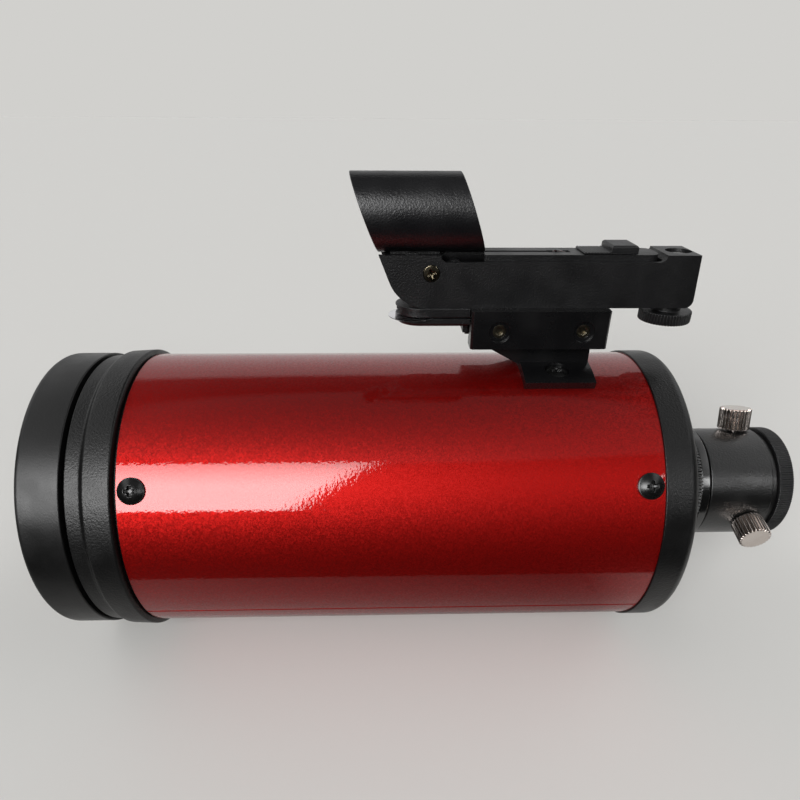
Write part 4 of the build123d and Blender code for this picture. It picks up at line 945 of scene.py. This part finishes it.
# ---- sight
@dataclass
class SightMount:
    """Foot on the tube, and the clamp that grips its rail."""

    screw_angle: float = 13.0
    screw_seat: float = 46.1
    edge: float = 0.35
    head: ScrewHead = ScrewHead(3.4, 1.1, dome=0.6, edge=0.2, recess=0.75, arm=0.45)
    socket: ScrewHead = ScrewHead(2.0, 0.3, Drive.HEX, dome=0.0, edge=0.3, recess=1.2, socket=1.15)

    def build(self) -> None:
        """Builds the foot, clamp and their screws."""
        for name, node, slot in (("sight_foot", "finder_foot", "black_casting"),
                                 ("sight_clamp", "finder_clamp", "black_plastic")):
            dress(softened(name, node, self.edge), Body.TUBE, Finishes.FOOT_ENAMEL, slot, node)
        middle = float(np.mean([c[0] for c in reach("foot_screws")]))
        places = [radial(middle, a, self.screw_seat) for a in (-self.screw_angle, self.screw_angle)]
        screw_set("foot_fixings", self.head, places, 3.0, Body.TUBE, Finishes.BLACK_LACQUER,
                  "black_steel", "foot_screws")
        low, high = reach("clamp_screws")
        y, z = low[1] + self.socket.height, float((low[2] + high[2]) / 2)
        sides = [Place((x, y, z), (0, -1, 0), (1, 0, 0))
                 for x in (low[0] + self.socket.radius, high[0] - self.socket.radius)]
        screw_set("clamp_fixings", self.socket, sides, 3.4, Body.TUBE, Finishes.SOCKET_STEEL,
                  "black_steel", "clamp_screws")


@dataclass
class ReflexSight:
    """Channel, tilting body with its hood and lens, switch, height knob and battery pod."""

    hood_rake: float = 20.0
    hood_wall: float = 1.0
    rib_half: float = 1.4
    rib_ends: tuple[float, float] = (16.0, 28.3)
    rib_foot: float = 3.1
    lens_tilt: float = 4.0
    lens_bow: float = 0.35
    knob_ridges: int = 54
    knob_disc: float = 3.3
    knob_hub: float = 4.2
    knob_bore: float = 1.5
    # The film sits this far off its node's middle, towards -Y.
    film_shift: float = 3.2
    pivot: ScrewHead = ScrewHead(2.3, 0.6, dome=0.3, edge=0.3, recess=0.55)

    def build(self) -> None:
        """Builds every piece of the sight."""
        for name, node, body, edge, finish in (
            ("sight_cradle", "sight_channel", Body.TUBE, 0.3, Finishes.SIGHT_MOULDING),
            ("sight_beam", "sight_body", Body.SIGHT, 0.25, Finishes.SIGHT_MOULDING),
            ("switch_cap", "power_slider", Body.SWITCH, 0.2, Finishes.SIGHT_MOULDING),
            ("pod_upper", "battery_housing", Body.TUBE, 0.3, Finishes.SIGHT_MOULDING),
            ("pod_drawer", "battery_tray", Body.DRAWER, 0.3, Finishes.SIGHT_MOULDING),
        ):
            dress(softened(name, node, edge), body, finish, "black_plastic", node)
        self.hood()
        self.rib()
        self.lens()
        self.knob()
        self.pivots()
        self.film()

    def hood(self) -> None:
        """Hood: a thin tube whose two ends lean forward, X falling by tan(rake) per Z."""
        low, high = reach("sight_hood")
        radius = (high[1] - low[1]) / 2
        z = high[2] - radius
        slope = np.tan(np.radians(self.hood_rake))
        front, rear = low[0] + radius * slope, high[0] - radius * slope
        inner = radius - self.hood_wall
        outline = rounded([(front, radius), (rear, radius), (rear, inner), (front, inner)], 0.3,
                          steps=5)
        grid = turned(outline, even_turn(240), Place((0, 0, z)))
        grid[..., 0] -= (grid[..., 2] - z) * slope
        made = mesh_object("sight_tube", [grid], loop=True)
        dress(made, Body.SIGHT, Finishes.HOOD_MOULDING, "black_plastic", "sight_hood")

    def rib(self) -> None:
        """Rib under the hood, over the body's well.

        Its top follows the hood's underside: z = z0 - sqrt(R^2 - y^2).
        """
        hood_low, hood_high = reach("sight_hood")
        body_low, body_high = reach("sight_body")
        radius = (hood_high[1] - hood_low[1]) / 2
        half, foot = self.rib_half, body_high[2] - self.rib_foot
        across = np.linspace(-half, half, 9)
        top = hood_high[2] - radius - np.sqrt((radius + 0.02) ** 2 - across**2)
        outline = np.vstack((np.stack((across, top), -1), [(half, foot), (-half, foot)]))
        front, rear = (body_low[0] + end for end in self.rib_ends)
        made = mesh_object("hood_rib", [slab(outline, front, rear, 0.1)], loop=False)
        dress(made, Body.SIGHT, Finishes.SIGHT_MOULDING, "black_plastic")

    def lens(self) -> None:
        """Reflector lens: a thin round meniscus, tilted a little, with ground edges."""
        low, high = reach("reflector_lens")
        centre = (low + high) / 2
        tilt = np.radians(self.lens_tilt)
        radius = (high[1] - low[1]) / 2
        r = np.linspace(0, radius - 0.1, 16)
        bow = self.lens_bow * (1 - (r / radius) ** 2)
        back = np.stack((0.45 + bow, r), -1)
        front = np.stack((-0.75 + bow, r), -1)
        profile = np.vstack((front, [(-0.6, radius), (0.3, radius)], back[::-1]))
        place = Place(tuple(centre), (np.cos(tilt), 0, np.sin(tilt)))
        made = mesh_object("sight_reflector", [turned(profile, even_turn(120), place)], loop=False)
        dress(made, Body.SIGHT, Finishes.LENS, "optical_glass", "reflector_lens")

    def knob(self) -> None:
        """Height knob: a disc with fine straight knurling under a plain hub."""
        low, high = reach("elevation_knob")
        centre = (low + high) / 2
        radius, bore, hub = (high[0] - low[0]) / 2, self.knob_bore, self.knob_hub
        bottom, top, shoulder = low[2], high[2], low[2] + self.knob_disc
        outline = rounded([(bottom, bore), (bottom, radius), (shoulder, radius), (shoulder, hub),
                           (top, hub), (top, bore)], [0.3, 0.45, 0.45, 0.2, 0.2, 0.1], steps=6)
        knurl = grooves(on_wall(outline, radius, 0.6), self.knob_ridges, 0.5, 2.5)
        place = Place((centre[0], centre[1], 0), (0, 0, 1), (1, 0, 0))
        grid = turned(outline, even_turn(self.knob_ridges * 8), place, relief=knurl)
        made = mesh_object("height_knob", [grid], loop=True)
        dress(made, Body.ADJUSTER, Finishes.SIGHT_MOULDING, "black_plastic", "elevation_knob")

    def pivots(self) -> None:
        """Pivot screws on both walls of the channel."""
        low, high = reach("pivot_screws")
        x, z = (low[0] + high[0]) / 2, (low[2] + high[2]) / 2
        places = [Place((x, side * (high[1] - self.pivot.height), z), (0, side, 0), (1, 0, 0.3))
                  for side in (-1, 1)]
        screw_set("pivot_fixings", self.pivot, places, 2.4, Body.TUBE, Finishes.DARK_NICKEL,
                  "nickel", "pivot_screws")

    def film(self) -> None:
        """Clear round pull film between battery and contact."""
        low, high = reach("battery_film")
        centre, radius = (low + high) / 2, (high[1] - low[1]) / 2
        outline = np.array([(low[2], 0), (low[2], radius), (high[2], radius), (high[2], 0)])
        place = Place((centre[0], centre[1] - self.film_shift, 0), (0, 0, 1), (1, 0, 0))
        made = mesh_object("film_disc", [turned(outline, even_turn(120), place)], loop=False)
        dress(made, Body.FILM, Finishes.FILM, "clear_film", "battery_film")


@dataclass
class SideBar:
    """Dovetail bar on the tube's far side."""

    head: ScrewHead = ScrewHead(3.6, 2.2, dome=0.3, edge=0.4, recess=1.1)

    def build(self) -> None:
        """Builds the bar and its two screws."""
        dress(softened("mount_bar", "side_bar", 0.5), Body.TUBE, Finishes.CELL_CASTING,
              "black_casting", "side_bar")
        low, high = reach("bar_screws")
        seat = high[1] - self.head.height
        places = [Place((x, seat, 0), (0, 1, 0), (1, 0, 0.2))
                  for x in (low[0] + self.head.radius, high[0] - self.head.radius)]
        screw_set("bar_fixings", self.head, places, 5.0, Body.TUBE, Finishes.BLACK_OXIDE,
                  "black_steel", "bar_screws")


def dress_frame_nodes() -> None:
    """Gives each frame node that no piece replaces the finish of its record slot."""
    by_slot = {
        "black_anodised": Finishes.BLASTED_ANODISING, "black_steel": Finishes.BLACK_OXIDE,
        "steel": Finishes.ZINC, "mirror_coat": Finishes.MIRROR, "mirror_glass": Finishes.MIRROR,
        "red_led": Finishes.LAMP,
    }
    for part in frame["record"]["subparts"]:
        shown = frame["nodes"][part["node"]]
        if shown.hide_render:
            continue
        shown.data.materials.clear()
        shown.data.materials.append(by_slot[part["material_slot"]].material())
        log.info("frame node %s in %s", part["node"], part["material_slot"])


# ---- studio
@dataclass(frozen=True)
class Pane:
    """A bright pane of the room, in slopes seen from the object: u sideways and v upwards.

    A direction d that leaves towards the camera's side has u = dx / -dy and v = dz / -dy. lean
    moves the right edge by a share of v, fade takes glow off towards the top, and soft is the
    width over which each edge fades in.
    """

    left: float
    right: float
    bottom: float
    top: float
    glow: float
    lean: float = 0.0
    fade: float = 0.0
    soft: float = 0.03


@dataclass
class Studio:
    """Camera, pale floor, and a room whose walls, ceiling and windows light the object softly.

    The camera stands at camera_at in millimetres; azimuth, elevation and roll are in degrees, and
    focal and centre count in units of the frame's side. The glows are radiances. shade_sheet_edge
    is the front edge of the sheet of painted shade that polished faces mirror, in metres.
    """

    camera_at: tuple[float, float, float] = (1.111, -181.695, 113.536)
    azimuth: float = 1.7562
    elevation: float = 30.4249
    roll: float = 0.3846
    focal: float = 609.985
    centre: tuple[float, float] = (404.886, 466.261)
    side: int = 800
    floor_tone: str = "#D2D1CE"
    backdrop: str = "#D1D0CD"
    panes: tuple[Pane, ...] = (Pane(-1.0, -0.17, 0.18, 1.16, 11.8, lean=0.13, fade=6.8),
                               Pane(0.55, 0.95, 0.35, 0.75, 7.0))
    wall_glow: float = 0.58
    ceiling_glow: float = 0.15
    wing_glow: float = 1.1
    front_glow: float = 0.012
    shade_sheet_edge: float = -0.08

    def build(self) -> None:
        """Builds the camera, floor and room."""
        self.camera()
        self.floor()
        self.shade_sheet()
        self.room()
        bpy.context.scene.view_settings.view_transform = "Standard"

    def axes(self) -> tuple[Vector, Vector, Vector]:
        """Right, up and forward directions of the camera."""
        a, e, k = (np.radians(v) for v in (self.azimuth, self.elevation, self.roll))
        forward = Vector((np.sin(a) * np.cos(e), np.cos(a) * np.cos(e), -np.sin(e)))
        level = forward.cross(Vector((0, 0, 1))).normalized()
        upright = level.cross(forward)
        right = level * np.cos(k) + upright * np.sin(k)
        return right, right.cross(forward), forward

    def camera(self) -> None:
        """A camera whose principal point lies off the picture's centre."""
        lens = bpy.data.cameras.new("view")
        lens.sensor_width = 36.0
        lens.lens = self.focal * lens.sensor_width / self.side
        lens.shift_x = (self.side / 2 - self.centre[0]) / self.side
        lens.shift_y = (self.centre[1] - self.side / 2) / self.side
        lens.clip_start = 0.005
        made = bpy.data.objects.new("view", lens)
        right, up, forward = self.axes()
        turn = Matrix((right, up, -forward)).transposed().to_4x4()
        made.matrix_world = Matrix.Translation(Vector(self.camera_at) * MM) @ turn
        bpy.context.scene.collection.objects.link(made)
        bpy.context.scene.camera = made

    @staticmethod
    def sheet(name: str, low: tuple[float, float], high: tuple[float, float],
              z: float) -> tuple[bpy.types.Object, Graph]:
        """A flat stage sheet.

        Args:
            name: Name of the sheet.
            low: Corner with the lowest X and Y, in metres.
            high: Corner with the highest.
            z: Height in metres.

        Returns:
            The sheet and its material's node tree.
        """
        (x0, y0), (x1, y1) = low, high
        mesh = bpy.data.meshes.new(name)
        mesh.from_pydata([(x0, y0, z), (x1, y0, z), (x1, y1, z), (x0, y1, z)], [], [(0, 1, 2, 3)])
        made = bpy.data.objects.new(name, mesh)
        bpy.context.scene.collection.objects.link(made)
        finish = bpy.data.materials.new(f"{name}_finish")
        finish.use_nodes = True
        mesh.materials.append(finish)
        return made, Graph(finish.node_tree)

    def floor(self) -> None:
        """Pale matt floor that takes the object's soft shadow."""
        _, graph = self.sheet("floor", (-12, -12), (12, 12), cad_box[0][2] - 0.0002)
        shader = graph.tree.nodes["Principled BSDF"]
        shader.inputs["Base Color"].default_value = linear(self.floor_tone)
        shader.inputs["Roughness"].default_value = 0.9
        shader.inputs["Specular IOR Level"].default_value = 0.1

    def shade_sheet(self) -> None:
        """Painted shade: a black sheet on the floor before the object, seen only in what polished
        faces mirror, standing in for the dark near side of the room.

        It is solid up to its edge, then thins out under the object, faster on the sky end's side,
        and there paints shade onto the floor's reflection.
        """
        made, graph = self.sheet("black_shade_sheet", (-12, -12), (12, 0.1), cad_box[0][2])
        made.visible_camera = made.visible_diffuse = made.visible_shadow = False
        made.visible_transmission = False
        graph.tree.nodes.remove(graph.tree.nodes["Principled BSDF"])
        where = graph.add("ShaderNodeTexCoord").outputs["Object"]
        place = graph.add("ShaderNodeSeparateXYZ", {0: where}).outputs
        x, y = place["X"], place["Y"]
        # Painted shade: the sheet darkens the floor's reflection under the object, more towards the
        # eyepiece end.
        floor_shade = graph.maths("ADD", graph.rise(y, 0.02, self.shade_sheet_edge, 0.5),
                           graph.rise(x, -0.08, 0.06, 0.3))
        thin = graph.maths("MULTIPLY", floor_shade, graph.rise(x, 0.1, 0.075))
        cover = graph.maths("MAXIMUM", thin, graph.maths("LESS_THAN", y, self.shade_sheet_edge))
        clear = graph.add("ShaderNodeBsdfTransparent").outputs[0]
        black = graph.add("ShaderNodeBsdfDiffuse", {"Color": linear("#0A0A0A")}).outputs[0]
        mix = graph.add("ShaderNodeMixShader", {0: cover, 1: clear, 2: black}).outputs[0]
        graph.tree.links.new(mix, graph.tree.nodes["Material Output"].inputs["Surface"])

    def room(self) -> None:
        """Light by direction: pale wall behind, dim ceiling, dark near side with bright panes."""
        world = bpy.data.worlds.new("room")
        world.use_nodes = True
        bpy.context.scene.world = world
        graph = Graph(world.node_tree)
        maths, rise = graph.maths, graph.rise
        way = graph.add("ShaderNodeTexCoord").outputs["Generated"]
        split = graph.add("ShaderNodeSeparateXYZ", {0: way}).outputs
        dx, dy, dz = split["X"], split["Y"], split["Z"]
        near = maths("MAXIMUM", maths("MULTIPLY", dy, -1.0), 0.02)
        u, v = maths("DIVIDE", dx, near), maths("DIVIDE", dz, near)
        # Pale wall behind the object, up to where the ceiling starts.
        wall = maths("MULTIPLY", rise(dy, -0.02, 0.3, self.wall_glow), rise(dz, 0.74, 0.68))
        # Dim ceiling, which reaches lower on the near side.
        over = maths("MAXIMUM", rise(dz, 0.9, 0.93),
                     maths("MULTIPLY", rise(dz, 0.72, 0.76), rise(dy, 0.0, -0.1)))
        ceiling = maths("MULTIPLY", over, self.ceiling_glow)
        # Brighter ground high on both ends.
        wing = maths("MULTIPLY", rise(maths("ABSOLUTE", dx), 0.42, 0.5, self.wing_glow),
                     rise(dz, 0.5, 0.62))
        total = maths("ADD", maths("ADD", wall, maths("ADD", ceiling, wing)), self.front_glow)
        for pane in self.panes:
            total = maths("ADD", total, self.pane_light(graph, pane, u, v, dy))
        lights = graph.add("ShaderNodeLightPath").outputs
        seen = maths("MAXIMUM", lights["Is Camera Ray"], lights["Is Transmission Ray"])
        mix = graph.add("ShaderNodeMix", {0: seen, 6: total, 7: linear(self.backdrop)},
                        data_type="RGBA").outputs[2]
        graph.tree.links.new(mix, graph.tree.nodes["Background"].inputs["Color"])

    @staticmethod
    def pane_light(graph: Graph, pane: Pane, u: Socket, v: Socket, dy: Socket) -> Socket:
        """Glow of a pane by direction.

        Args:
            graph: Node tree of the world.
            pane: The pane.
            u: Slope sideways.
            v: Slope upwards.
            dy: The direction's Y, which keeps the pane on the camera's side.

        Returns:
            The pane's radiance, 0 outside it.
        """
        maths, rise = graph.maths, graph.rise
        edge = maths("MULTIPLY_ADD", v, -pane.lean, u)
        inside = maths("MULTIPLY", rise(u, pane.left, pane.left + pane.soft),
                       rise(edge, pane.right, pane.right - pane.soft))
        level = maths("MULTIPLY", rise(v, pane.bottom, pane.bottom + pane.soft),
                      rise(v, pane.top, pane.top - pane.soft))
        glow = maths("SUBTRACT", pane.glow, rise(v, 0.6, pane.top, pane.fade))
        lit = maths("MULTIPLY", maths("MULTIPLY", inside, level), glow)
        return maths("MULTIPLY", lit, rise(dy, -0.03, -0.06))


def main() -> None:
    """Builds the telescope's pieces in order, then the studio."""
    logging.basicConfig(level=logging.INFO, format="%(name)s: %(message)s")
    for assembly in (FrontEnd(), MainTube(), RearEnd(), SightMount(), ReflexSight(), SideBar()):
        assembly.build()
    dress_frame_nodes()
    Studio().build()


if __name__ == "__main__":
    main()
